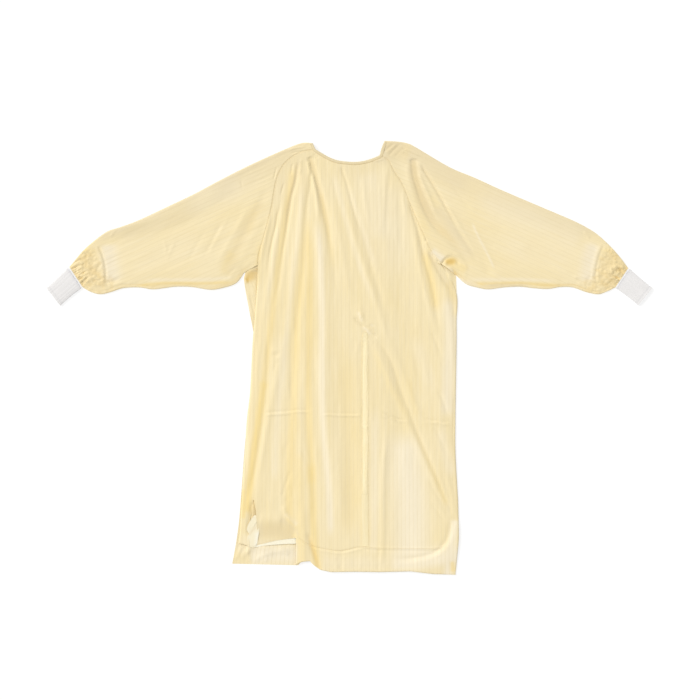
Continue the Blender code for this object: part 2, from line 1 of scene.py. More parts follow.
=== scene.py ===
"""Reusable isolation gown laid flat, front side up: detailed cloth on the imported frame.

Frame: X across the gown (towards the wearer's left sleeve), Y from hem to neck, Z up
from the surface it lies on, metres.  Outline tables are in centimetres.  Fold tables
are in layout units of 2.65 mm, counted right and down from the layout's corner.
"""
import math
import bpy
import numpy as np
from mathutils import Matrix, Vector


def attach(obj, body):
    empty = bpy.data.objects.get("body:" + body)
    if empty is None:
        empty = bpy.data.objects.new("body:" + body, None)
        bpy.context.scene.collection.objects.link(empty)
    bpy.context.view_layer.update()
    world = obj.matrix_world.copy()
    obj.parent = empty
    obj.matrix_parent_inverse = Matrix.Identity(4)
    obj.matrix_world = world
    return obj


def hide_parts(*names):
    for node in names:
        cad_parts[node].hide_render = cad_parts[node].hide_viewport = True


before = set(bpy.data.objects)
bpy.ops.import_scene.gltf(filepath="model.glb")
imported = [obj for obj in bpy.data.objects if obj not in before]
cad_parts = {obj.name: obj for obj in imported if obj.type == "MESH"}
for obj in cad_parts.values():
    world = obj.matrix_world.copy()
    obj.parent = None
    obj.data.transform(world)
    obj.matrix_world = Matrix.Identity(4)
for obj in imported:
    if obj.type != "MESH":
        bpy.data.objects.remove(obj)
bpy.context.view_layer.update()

CM = 0.01
UNIT_CM = 0.265                 # one layout unit in centimetres
THIN = 0.0006                   # thickness of the woven cloth as shown
BASE_SIDE, BASE_MIDDLE = 0.0048, 0.0078
FOLD_SCALE = 1.25

# ---------------------------------------------------------------- outline tables (cm)
NECKLINE = [(-9.1, 55.1), (-7.8, 54.3), (-5.7, 53.1), (-3.6, 52.25), (-1.2, 51.85),
            (1.1, 51.7), (3.3, 51.9), (5.7, 52.5), (8.1, 53.5)]
FRONT_ROWS = [
    (-13.1, 54.3, 10.2, 52.3, 2.7),
    (-16.3, 52.3, 11.0, 50.7, 1.9),
    (-18.3, 49.7, 11.9, 49.0, 1.3),
    (-19.6, 46.0, 13.9, 46.0, 0.8),
    (-20.7, 39.5, 16.3, 39.9, 0.3),
    (-22.7, 31.8, 19.5, 32.7, 0.0),
    (-24.0, 27.4, 21.6, 28.2, 0.0),
    (-24.3, 24.6, 24.0, 25.0, 0.0),
    (-24.5, 18.9, 28.3, 17.4, 0.0),
    (-25.2, 9.9, 28.4, 9.4, 0.0),
    (-25.7, 3.3, 28.4, 2.8, 0.0),
    (-26.3, -8.6, 28.2, -9.1, 0.0),
    (-27.2, -16.6, 28.1, -16.6, 0.0),
    (-27.7, -24.5, 28.1, -24.8, 0.0),
    (-28.4, -33.8, 28.6, -34.6, 0.0),
    (-28.6, -37.8, 28.8, -38.0, 0.0),
    (-28.8, -40.9, 28.9, -41.7, 0.0),
    (-29.0, -45.2, 29.0, -45.7, 0.0),
]
SEAM_ROWS, ROW_SLIT, ROW_HEM_SEAM, ROW_HEM = 8, 16, 19, 20
SHARE_LEFT_LIP, SHARE_RIGHT_LIP, SHARE_CORNER = 0.055, 0.060, 0.252
LIPS = {15: (-25.3, -25.0, -14.1), 16: (-25.5, -25.3, -14.1), 17: (-25.95, -24.8, -14.2),
        18: (-26.6, -24.5, -14.2), 19: (-26.5, -24.5, -14.2), 20: (-26.5, -24.5, -14.2)}
HEM_SEAM = [(-29.5, -49.2), (-26.4, -50.0), (-24.5, -49.8), (-19.5, -48.5), (-14.2, -47.8),
            (-11.8, -49.2), (-8.9, -50.4), (-2.6, -51.4), (2.8, -50.4), (8.3, -50.7),
            (16.2, -50.8), (23.1, -50.7), (28.9, -49.4)]
HEM = [(-30.5, -55.1), (-14.2, -55.1), (-12.7, -54.2), (-10.5, -54.0), (-9.3, -55.2), (-7.7, -56.3),
       (-4.9, -56.9), (1.5, -56.8), (7.8, -56.9), (16.2, -56.7), (22.1, -57.4), (28.1, -57.6)]
LEFT_TOP = [(-9.9, 56.8), (-12.1, 56.9), (-14.6, 56.2), (-20.5, 53.7), (-27.4, 50.5),
            (-34.3, 47.0), (-41.2, 43.3), (-48.1, 40.0), (-55.8, 36.4), (-60.6, 34.6),
            (-64.0, 33.5), (-67.2, 31.3), (-70.4, 28.5), (-72.5, 26.1), (-74.3, 24.0)]
LEFT_UNDER = [(-28.0, 22.4), (-30.1, 19.7), (-33.8, 18.4), (-37.1, 18.0), (-41.7, 18.7),
              (-46.0, 18.8), (-49.2, 18.4), (-52.3, 18.1), (-55.8, 18.6), (-60.0, 18.4),
              (-63.2, 17.4), (-66.1, 16.8), (-68.8, 17.5), (-70.8, 18.7)]
LEFT_BACK_END = [(-9.9, 56.8), (-11.0, 54.6), (-14.0, 53.4), (-17.6, 51.1), (-20.0, 48.1),
                 (-21.6, 44.3), (-22.9, 38.6), (-24.8, 31.7), (-26.6, 26.4), (-28.0, 22.4)]
RIGHT_TOP = [(9.4, 57.4), (13.0, 57.2), (15.5, 56.7), (17.6, 55.7), (26.4, 50.5),
             (33.0, 47.7), (39.1, 44.9), (45.1, 42.3), (55.0, 38.1), (59.2, 36.3),
             (62.6, 34.6), (65.6, 32.7), (69.0, 29.6), (71.7, 26.6), (73.9, 23.7)]
RIGHT_UNDER = [(28.6, 21.5), (30.9, 19.5), (33.8, 18.6), (36.8, 18.1), (40.9, 18.6),
               (45.1, 18.8), (48.9, 18.4), (52.6, 18.2), (56.0, 18.7), (59.2, 18.6),
               (62.7, 17.4), (65.9, 16.8), (68.2, 17.5), (70.5, 18.6)]
RIGHT_BACK_END = [(9.4, 57.4), (10.8, 54.8), (14.0, 53.4), (17.2, 51.0), (19.6, 47.6),
                  (21.2, 43.5), (22.6, 37.5), (24.6, 31.0), (26.6, 26.0), (28.6, 21.5)]
LEFT_FREE = [(-26.2, 23.5), (-28.0, 22.4)]
RIGHT_FREE = [(26.1, 23.6), (28.6, 21.5)]
LEFT_CUFF = [(-74.7, 23.8), (-71.1, 18.4), (-80.3, 18.4), (-76.7, 13.8)]
RIGHT_CUFF = [(74.3, 23.5), (70.8, 18.3), (80.3, 18.4), (76.6, 13.9)]
LEFT_SIDE = [(-28.0, 21.0), (-27.7, 18.4), (-26.5, 12.0), (-25.4, 5.6), (-25.6, -1.0),
             (-26.2, -9.0), (-27.1, -17.0), (-27.9, -25.0), (-28.7, -36.0), (-29.3, -43.3),
             (-30.1, -49.2), (-31.1, -54.7)]
RIGHT_SIDE = [(28.4, 17.4), (28.1, 9.4), (28.1, 2.8), (27.9, -9.1), (27.8, -16.6),
              (27.8, -24.8), (28.2, -34.6), (28.5, -41.7), (28.6, -45.7), (28.5, -49.4),
              (28.1, -53.4), (27.7, -57.0)]
LEFT_LAP_EDGE, RIGHT_LAP_EDGE = 6.8, -6.5
BACK_NECK = [(-11.0, 54.3), (-8.3, 52.7), (-5.7, 51.4), (-2.5, 50.5), (0.7, 50.2),
             (3.8, 50.5), (7.0, 51.3), (10.8, 54.4)]
SEAM_LEVELS = [0, 1, 2, 3, 4, 4.5, 5, 5.5, 6, 7, SEAM_ROWS]
TOP_SHARES = [0.0, 0.037, 0.093, 0.145, 0.205, 0.243, 0.280, 0.318, 0.355, 0.390, 0.413, 0.427, 0.442]

# ---------------------------------------------------------------- folds
# height mm (negative is a trough), half widths to the left and to the right of the
# line in layout units, share of the line over which it fades in and out, the line
FOLDS = [
    # chest, gathers that fan from the neck
    (-2.6, 1.5, 1.9, .05, .6, [(298.5, 160), (296, 180), (292, 195), (289, 212), (285.5, 235), (283, 250), (281, 265), (279, 282), (275, 299), (271, 314), (269.5, 335)]),
    (1.1, 3.0, 2.8, .12, .20, [(286, 186), (283.5, 205), (279.5, 225), (275, 248), (271.5, 272), (267, 292), (263.5, 315), (261, 338)]),
    (1.3, 3.6, 4.4, .10, .25, [(303, 163), (303, 190), (301, 215), (298.5, 237), (294, 262), (290.5, 290), (287, 315), (284, 340), (280, 362), (275, 392), (270, 418)]),
    (-5.2, 1.9, 2.6, .04, .55, [(309, 156), (314, 171), (318.5, 187), (322.5, 203), (326, 220), (329.5, 238), (333, 258)]),
    (2.2, 1.6, 1.6, .1, .3, [(312.5, 172), (315, 188), (317.5, 205), (319.5, 225)]),
    (-1.3, 3.0, 3.4, .2, .3, [(321, 195), (326, 220), (330, 245), (334, 270), (337, 300)]),
    (-1.5, 2.4, 2.8, .14, .25, [(308.5, 172), (309, 187), (306.5, 205), (305, 225), (304, 250), (302.5, 272), (299.5, 298), (297, 322), (295, 345), (293.5, 370), (292.5, 400), (291, 440)]),
    (-1.2, 1.2, 1.3, .15, .5, [(309.5, 172), (310, 186), (307.5, 205)]),
    (-1.5, 1.8, 2.6, .2, .2, [(293.5, 322), (291.5, 345), (290.5, 370), (291.5, 405)]),
    (2.0, 4.4, 6.5, .12, .25, [(312, 200), (316.5, 228), (320.5, 260), (323.5, 290), (325.5, 325), (324, 370), (325.5, 410), (329.5, 450), (333, 490), (335.5, 535)]),
    (-1.9, 1.4, 1.9, .15, .4, [(279, 205), (276, 225), (272.5, 240), (269.5, 256), (267.5, 275)]),
    (1.6, 1.8, 2.2, .2, .4, [(271, 212), (266.5, 232), (262.5, 250), (261, 268)]),
    (-1.4, .9, .9, .2, .3, [(292.5, 163), (291.5, 170), (291, 176)]),
    (-1.0, .8, .8, .2, .3, [(276.5, 167), (275, 174), (273.5, 180)]),
    (-1.0, .8, .9, .2, .3, [(284, 183), (282, 190), (281, 196)]),
    (1.4, 1.4, 1.4, .2, .3, [(308, 160), (309, 168), (310, 178)]),
    (1.2, 1.2, 1.2, .2, .3, [(301, 158), (300.5, 166), (300, 176)]),
    (-2.0, 1.4, 1.7, .1, .3, [(340.5, 165), (346, 181), (350.5, 198), (355, 215), (361, 234)]),
    (-1.3, 2.6, 3.0, .2, .3, [(357, 212), (366, 246), (373, 272), (382, 300), (390, 326)]),
    (1.6, 2.8, 2.8, .12, .25, [(345.5, 203), (353.5, 233), (363.5, 264), (374, 296), (383, 325), (391, 350)]),
    (1.1, 3.0, 3.0, .2, .3, [(330, 195), (337, 225), (343, 255), (348, 285), (354, 312)]),
    (-1.3, 2.2, 2.4, .2, .3, [(389.5, 170), (388, 192), (386.5, 225), (387, 250)]),
    (0.9, 2.0, 2.0, .2, .3, [(395, 195), (396, 225), (398, 255)]),
    (0.8, 2.2, 2.2, .3, .3, [(362, 175), (366, 205), (371, 232)]),
    (-0.8, 2.0, 2.0, .3, .3, [(331, 168), (335, 190), (341, 215)]),
    (-2.9, 1.4, 2.4, .1, .3, [(407, 199), (412.5, 213), (417.5, 229), (421.5, 246), (426, 265), (432, 287), (436, 312), (440, 338)]),
    (1.5, 2.2, 1.8, .2, .3, [(411, 222), (415, 238), (419, 262), (424, 285), (430, 310), (435, 334)]),
    (2.2, 4.2, 2.2, .15, .25, [(444, 283), (448, 302), (451, 322), (452.6, 348), (453.2, 372)]),
    (-0.7, 1.1, 1.1, .2, .3, [(452.5, 298), (454.5, 312), (455.5, 328)]),
    (1.0, 1.6, 1.6, .2, .3, [(402, 190), (404, 205), (407, 222)]),
    # body, left part
    (-1.8, 2.4, 3.0, .12, .12, [(268.5, 330), (268, 352), (267, 375), (264.5, 402), (262, 425), (259, 445), (255.5, 466), (251, 485), (247.5, 503)]),
    (1.1, 3.2, 2.8, .15, .2, [(276, 372), (273, 395), (270, 412), (267, 428), (264, 445), (261, 462), (258.5, 480)]),
    (1.0, 2.6, 2.2, .15, .15, [(262.5, 330), (258.5, 355), (255.5, 382), (252.5, 410), (250.5, 440), (247, 468), (244, 492)]),
    (-1.5, 1.2, 1.2, .2, .2, [(247, 430), (246, 455), (246, 478)]),
    (-1.1, 1.0, .9, .3, .3, [(272.5, 355.5), (276, 356), (279.5, 355)]),
    (-1.0, .9, .9, .3, .3, [(276, 361), (275, 366), (273.5, 372)]),
    (0.9, 1.4, 1.4, .3, .3, [(270.5, 348), (274.5, 350.5), (280, 350)]),
    (-1.6, 3.4, 4.0, .2, .2, [(305, 392), (307, 415), (309, 440), (312, 468), (314, 500), (313.5, 535)]),
    (-4.2, 1.7, 1.5, .2, .02, [(307, 531), (311.5, 545), (315, 556), (320, 571)]),
    (2.4, 3.6, 3.4, .3, .02, [(301.5, 500), (303, 530), (304, 565)]),
    (0.9, 1.2, 1.2, .2, .2, [(301, 420), (301, 450), (300.5, 480), (301, 505)]),
    (-1.5, 1.1, 1.1, .2, .2, [(291, 470), (287, 480), (284, 490), (282, 498)]),
    (-1.0, .9, .9, .2, .3, [(292, 483), (293, 492), (292, 501)]),
    (-0.9, .8, .9, .2, .3, [(286.5, 488), (287, 497), (285.5, 504)]),
    (-1.0, 1.0, 1.0, .3, .3, [(301, 448), (305.5, 459), (311, 468)]),
    (-0.8, 1.6, 1.6, .3, .3, [(287.5, 440), (285.5, 452), (284.5, 463)]),
    (0.7, 1.2, 1.2, .2, .2, [(280, 435), (280.5, 470), (280, 508)]),
    (0.8, 2.4, 2.4, .2, .2, [(299.5, 330), (303, 360), (302.5, 395)]),
    (-0.8, 2.0, 2.2, .2, .2, [(312.5, 330), (313.5, 360), (314.5, 390)]),
    (0.7, 2.2, 4.0, .2, .2, [(337, 430), (338.5, 470), (340, 515)]),
    # body, right part
    (-2.0, 1.6, 1.9, .12, .04, [(371, 334), (378.5, 342), (386, 352), (392.5, 366), (397.5, 381), (402.5, 395), (408.5, 409), (413.5, 423), (419.5, 438), (425.5, 452), (431.5, 466), (437.5, 480), (443.5, 495), (448.5, 507), (452, 516)]),
    (-0.4, 5.0, 5.0, .2, .3, [(378, 335), (387, 352), (395, 372), (402, 392)]),
    (1.4, 3.0, 2.4, .1, .08, [(366, 333), (370.5, 338), (377, 351), (385, 368), (392, 386), (398.5, 401), (405.5, 418), (413, 435), (420, 451), (427, 466), (434, 481), (440, 495)]),
    (1.0, 2.6, 2.6, .3, .3, [(387, 334), (396.5, 357), (405, 379), (413, 399), (421, 418), (430, 440)]),
    (-1.4, 1.5, 1.5, .2, .3, [(431, 330), (437.5, 345), (442, 360)]),
    (-1.7, 1.6, 1.6, .2, .3, [(438, 388), (444, 404), (450, 421)]),
    (-1.3, 1.6, 1.6, .2, .3, [(434, 425), (441.5, 441), (448, 457)]),
    (-1.2, 1.5, 1.5, .2, .2, [(431, 503), (438.5, 513), (446, 523)]),
    (-1.3, 1.4, 1.4, .2, .1, [(428, 478), (436, 493), (443, 505), (449, 517)]),
    (-1.2, 1.2, 1.2, .2, .1, [(441, 470), (446, 487), (450, 502), (452, 515)]),
    (1.1, 1.4, 1.4, .2, .1, [(446, 470), (450, 485), (453, 500), (454, 514)]),
    (-1.8, 1.2, 1.0, .2, .2, [(454.5, 392), (454, 412), (453.5, 432), (454, 452)]),
    (-1.1, 1.2, 1.2, .2, .2, [(451.5, 455), (452, 475), (453.5, 495)]),
    (1.9, 2.0, 2.0, .25, .03, [(387.5, 418), (385.5, 445), (383.5, 470), (382.5, 500), (382.5, 530), (381.5, 565)]),
    (-0.8, 1.8, 4.2, .3, .05, [(390, 435), (389, 465), (388, 500), (387, 530), (386.5, 560)]),
    (-2.0, 7.5, 8.0, .25, .12, [(349, 335), (349, 380), (350, 430), (352, 480), (353, 540)]),
    (1.0, 9.0, 9.0, .3, .2, [(405, 432), (406, 480), (406, 535)]),
    (-0.9, 1.2, 1.2, .3, .3, [(384, 410), (387, 415), (391, 421)]),
    (0.9, 1.0, 1.0, .3, .3, [(386, 409), (389.5, 414), (394, 418)]),
    (-0.8, 1.0, 1.0, .3, .3, [(353, 338), (355, 345), (353.5, 352)]),
    (0.8, 1.0, 1.0, .3, .3, [(355.5, 341), (357.5, 347), (357, 354)]),
    (-0.8, 1.6, 1.6, .3, .3, [(411, 330), (414, 355), (418, 380)]),
    (0.7, 1.6, 1.6, .3, .3, [(420, 340), (424, 365), (430, 390)]),
    # crumples of the turned-up hem
    (-2.3, .9, .9, .1, .05, [(341.5, 550), (341, 560), (341.5, 571)]),
    (-2.2, 1.0, 1.2, .1, .05, [(379, 548), (378, 558), (377.5, 571)]),
    (1.0, .9, .9, .3, .1, [(333, 553), (335, 561), (336, 570)]),
    (-0.9, .8, .9, .3, .1, [(337, 554), (339, 562), (339.5, 570)]),
    (0.9, .9, .9, .3, .1, [(346, 552), (344.5, 560), (345, 570)]),
    (-1.0, .8, .8, .3, .1, [(352, 553), (353.5, 561), (353, 570)]),
    (1.1, .8, .9, .3, .1, [(360, 551), (361, 560), (360, 570)]),
    (-0.9, .9, .9, .3, .1, [(367, 552), (368.5, 560), (370, 568)]),
    (0.8, .9, .9, .3, .1, [(397, 553), (396, 561), (397.5, 570)]),
    (-0.8, .9, .9, .3, .1, [(412, 552), (413.5, 560), (413, 569)]),
    # the fold above the turned-under corner, and the flap beside it
    (2.2, 9.0, 7.0, .1, .1, [(259, 520), (270, 521), (282, 521)]),
    (2.0, 1.6, 1.6, .2, .1, [(283, 504), (285.5, 513), (291, 521.5), (297, 529.5)]),
    # gathers round the tack of the waist tie
    (-1.35, 1.5, 1.3, .05, .1, [(363.2, 337), (363.1, 380), (362.9, 430), (363.1, 496)]),
    (0.55, 1.8, 3.2, .05, .1, [(368.4, 337), (368.4, 380), (368.2, 430), (368.4, 496)]),
    (0.7, .9, .9, .25, .3, [(383, 410.5), (386, 415), (391.5, 417)]),
    (-1.3, .8, .8, .25, .25, [(272, 354.6), (276, 354.2), (280, 354.4)]),
    (0.9, .9, .9, .25, .25, [(271.6, 358.4), (276, 358), (280.4, 358.2)]),
    (-2.6, 1.0, 1.0, .2, .15, [(354, 317), (357.5, 322), (361.5, 325.5), (364, 328)]),
    (-2.0, .9, .9, .15, .15, [(366, 325.5), (369.5, 329), (373, 333), (377, 338)]),
    (1.7, 1.1, 2.8, .15, .2, [(358.2, 311), (361, 318), (364.4, 324), (369, 328.6), (374.4, 334.4)]),
    (0.35, .8, .8, .15, .15, [(366.5, 326), (368.8, 323.4), (372.2, 322.2), (375.4, 323.4), (376.2, 326.8)]),
    (-1.1, .8, .8, .1, .4, [(369, 330.5), (371.5, 337), (374.5, 345), (376, 354)]),
    (1.0, .9, .9, .2, .4, [(372.5, 330), (377, 337), (381, 346)]),
    (-0.6, .8, .8, .3, .3, [(369.6, 326), (372, 325), (374, 327)]),
    (1.1, 1.0, 1.0, .3, .3, [(362.5, 320), (361, 312), (358.5, 303)]),
    # packaging crease
    (-0.9, .8, .9, .1, .1, [(266, 412.2), (278, 411.4), (291, 410.6)]),
    (1.6, .8, .8, .1, .1, [(266, 415), (278, 414.4), (291, 413.6)]),
    (-0.9, .7, .7, .2, .3, [(289, 410.5), (300, 409.6), (311, 410.2)]),
    (1.2, .7, .7, .2, .3, [(290, 412.5), (300, 412.2), (311, 412.6)]),
    (-0.5, .8, .8, .15, .1, [(322, 412.2), (340, 413), (361, 413.4)]),
    (1.6, .8, .8, .15, .1, [(322, 414.6), (340, 415.6), (361, 415.8)]),
    (-1.2, .8, .8, .2, .2, [(382, 411), (388, 415), (396, 418.5), (409, 420.4)]),
    (1.4, .75, .75, .2, .2, [(383, 414), (390, 418), (398, 421), (409, 422.4)]),
    (-1.0, .7, .7, .2, .2, [(383, 417), (388, 421), (393, 423)]),
    (-0.9, .8, .8, .15, .15, [(424, 419), (437, 420.6), (451, 422.4)]),
    (1.7, .8, .8, .15, .15, [(424, 421.8), (437, 423.4), (451, 425.4)]),
    # wearer's right sleeve
    (-1.0, 3.8, 5.0, .12, .15, [(268.5, 187), (262.5, 199), (255, 213), (248, 226), (241, 240), (234, 254), (227, 266), (219, 277)]),
    (0.5, 3.4, 3.4, .2, .2, [(264, 214), (254, 234), (246, 250), (236, 266)]),
    (0.45, 1.2, 1.4, .25, .25, [(231, 212), (222.5, 228), (214, 244), (206.5, 259)]),
    (0.8, 2.6, 2.6, .2, .3, [(251, 203), (241, 221), (230, 241), (220, 259), (212, 273)]),
    (-0.9, 1.6, 1.6, .2, .3, [(222, 222), (212, 241), (203, 258)]),
    (-1.0, .8, .8, .2, .3, [(240.5, 180), (241.5, 184), (243, 188)]),
    (-0.7, 1.4, 1.4, .2, .3, [(205, 232), (195, 248), (188, 262)]),
    (0.7, 1.2, 1.2, .3, .3, [(163, 238), (166, 248), (165, 258)]),
    (0.8, 1.1, 1.1, .3, .3, [(176, 240), (170, 252), (166, 262)]),
    (1.0, .8, .8, .2, .2, [(110.5, 237.5), (113, 233.5), (116, 230)]),
    (1.7, 1.2, 1.6, .12, .2, [(95.5, 246), (99.5, 254), (102.2, 263), (103.4, 274), (103, 288)]),
    (-1.6, .9, .9, .05, .1, [(98.5, 246), (102, 254), (104.6, 263), (105.8, 274), (105.2, 288)]),
    (-1.2, 1.2, 1.2, .2, .3, [(104, 283), (112, 281.5), (121, 278)]),
    (1.3, 1.3, 1.3, .2, .3, [(108, 286), (116, 284), (126, 281)]),
    (1.0, 1.0, 1.0, .3, .3, [(229, 279), (232, 275), (239, 269)]),
    (-1.0, .9, .9, .3, .3, [(225, 280), (230, 273), (238, 265)]),
    (-1.0, .9, .9, .3, .3, [(234, 281), (240, 275), (248, 268)]),
    (1.0, .9, .9, .3, .3, [(243, 268), (250, 262), (257, 259)]),
    (-0.9, .8, .8, .3, .3, [(246, 258), (252, 255.5), (258, 255)]),
    # wearer's left sleeve
    (-6.0, 2.2, 3.8, .03, .35, [(412.5, 158), (414.5, 174), (418, 187), (422.5, 200), (428, 213), (433.5, 223), (439, 230), (446, 236), (454, 243), (462, 250)]),
    (0.8, 2.4, 2.2, .1, .3, [(407, 163), (409, 180), (414, 197), (419, 210)]),
    (-3.0, 4.0, 4.6, .2, .3, [(419, 190), (427, 208), (437, 224), (450, 238), (462, 252), (474, 266)]),
    (-3.0, 1.3, 1.5, .1, .3, [(420, 163), (427, 175), (434.5, 187), (441.5, 199), (448, 211), (455, 223), (462, 235)]),
    (2.2, 1.6, 2.0, .15, .3, [(417, 171), (422, 182), (428, 195), (434, 210), (440, 219)]),
    (1.3, 1.6, 1.6, .2, .2, [(441, 198), (452, 214), (462, 230), (471, 246), (480, 261), (488, 273)]),
    (0.7, .9, 2.4, .2, .2, [(472, 223), (479, 238), (487, 253), (495, 270)]),
    (-1.9, 3.0, 3.0, .2, .2, [(455, 226), (466, 242), (476, 256), (488, 270), (496, 278)]),
    (1.1, 1.4, 1.4, .3, .3, [(459, 264), (463, 270), (468, 277)]),
    (-0.8, 1.2, 1.2, .3, .3, [(449, 183), (462, 198), (472, 214)]),
    (0.8, 2.2, 2.2, .3, .3, [(500, 225), (520, 240), (535, 254)]),
    (-0.7, 1.8, 1.8, .3, .3, [(520, 250), (540, 262), (560, 270)]),
    (1.3, .9, .9, .2, .2, [(583.5, 231), (587, 235), (590, 239)]),
    (1.0, 2.2, 1.8, .12, .2, [(601.5, 244), (596.5, 256), (594, 267), (593, 278), (594, 287)]),
    (-0.8, 1.0, 1.0, .05, .1, [(604, 244.5), (599, 257), (596.8, 268), (596.2, 280), (599, 291)]),
    (-1.2, 1.1, 1.1, .2, .3, [(576, 277), (583, 284), (592, 289)]),
    (1.2, 1.1, 1.1, .2, .3, [(577, 281), (584, 287), (591, 291)]),
    (0.9, 1.4, 1.4, .2, .3, [(572, 277.5), (580, 277), (589, 278)]),
    # round the wearer's left underarm
    (1.6, 1.4, 1.8, .15, .15, [(425, 240), (431, 250), (438, 259), (443, 262)]),
    (-3.2, 1.2, 1.2, .1, .1, [(441.5, 266), (444.5, 260), (450, 256.8), (456, 259), (458.5, 265)]),
    (2.6, 2.0, 2.0, .2, .2, [(445, 268.4), (449, 269.2), (453.5, 269.6)]),
    (-2.0, 1.1, 1.1, .2, .2, [(446, 273), (452, 277), (456, 281)]),
    (-3.4, 1.6, 1.6, .2, .1, [(428, 250), (433.5, 261), (438.5, 271), (444.5, 281), (453, 292)]),
    (1.4, 1.3, 1.3, .2, .2, [(452, 253.5), (460, 257.5), (464, 263), (468, 271)]),
    (-2.0, 3.0, 3.0, .2, .2, [(446, 262.5), (450, 262.8), (455, 263)]),
    # shoulder ends at the neck
    (-0.8, 1.2, 1.2, .1, .1, [(394, 143.6), (389, 147.5), (383.6, 151.6)]),
    (0.5, .9, .9, .2, .2, [(396.5, 144), (391.5, 148.5), (386, 153)]),
    (-0.9, 1.3, 1.2, .1, .1, [(400.5, 143.8), (394.5, 149.6), (388.6, 156)]),
    (-0.5, 1.0, 1.0, .2, .2, [(405, 147), (399, 152.5), (394, 158)]),
    (0.8, 1.0, 1.0, .2, .2, [(373, 161.6), (378, 160.6), (384, 159)]),
    (-0.8, .8, .8, .2, .2, [(402, 152), (409, 155.5), (416, 160)]),
    (0.9, .9, .9, .2, .2, [(404, 149), (412, 152), (420, 156)]),
    (-1.2, .9, .9, .2, .2, [(314, 153.5), (316, 156), (318, 158.5)]),
    (-0.9, .9, .9, .2, .2, [(290, 153.5), (297, 152), (304, 151)]),
    (0.9, 1.0, 1.0, .2, .2, [(288, 150), (297, 148), (306, 147)]),
]

# Faces that rise to one side of a line: slope, reach in units, softness, fade, line.
# The face rises on the side that the line keeps to its left when followed.
FACES = [
    (0.150, 11.0, 1.0, .12, .25, [(104, 239), (112, 238), (130, 237.6), (156, 231), (172, 226), (185, 221), (200, 213), (226, 198), (246, 186)]),
    (0.115, 12.0, 1.8, .25, .15, [(449, 174), (480, 194), (510, 211), (536, 222), (560, 231), (588, 238), (597, 241)]),
]

# Painted shade: darker, warmer spots where light reaches the cloth only through other cloth:
# across, down, half length, half width (units), turn in degrees, strength
PAINTED_SHADE_SPOTS = [
    (450.5, 261.6, 5.6, 3.2, -6, 1.0), (455.5, 274, 4.5, 1.6, 70, .6),
    (253, 507, 8, 3.0, 85, .3), (251.0, 511, 9, 2.8, 96, .42),
    (291, 190, 22, 1.4, 103, .2), (314, 552, 16, 2.2, 72, .5),
]
# and painted shade on the back panels, inside the underarm gaps
PAINTED_SHADE_SPOTS_BACK = [(250, 276, 8.0, 5.5, -30, .75), (257, 288, 8, 1.6, 88, .4), (442, 270, 8, 2.0, 55, .2),
             (253, 508, 11, 5, 88, .35), (278, 536, 22, 3, -4, .3), (247.4, 279.6, 3.4, 2.2, 82, 1.0)]
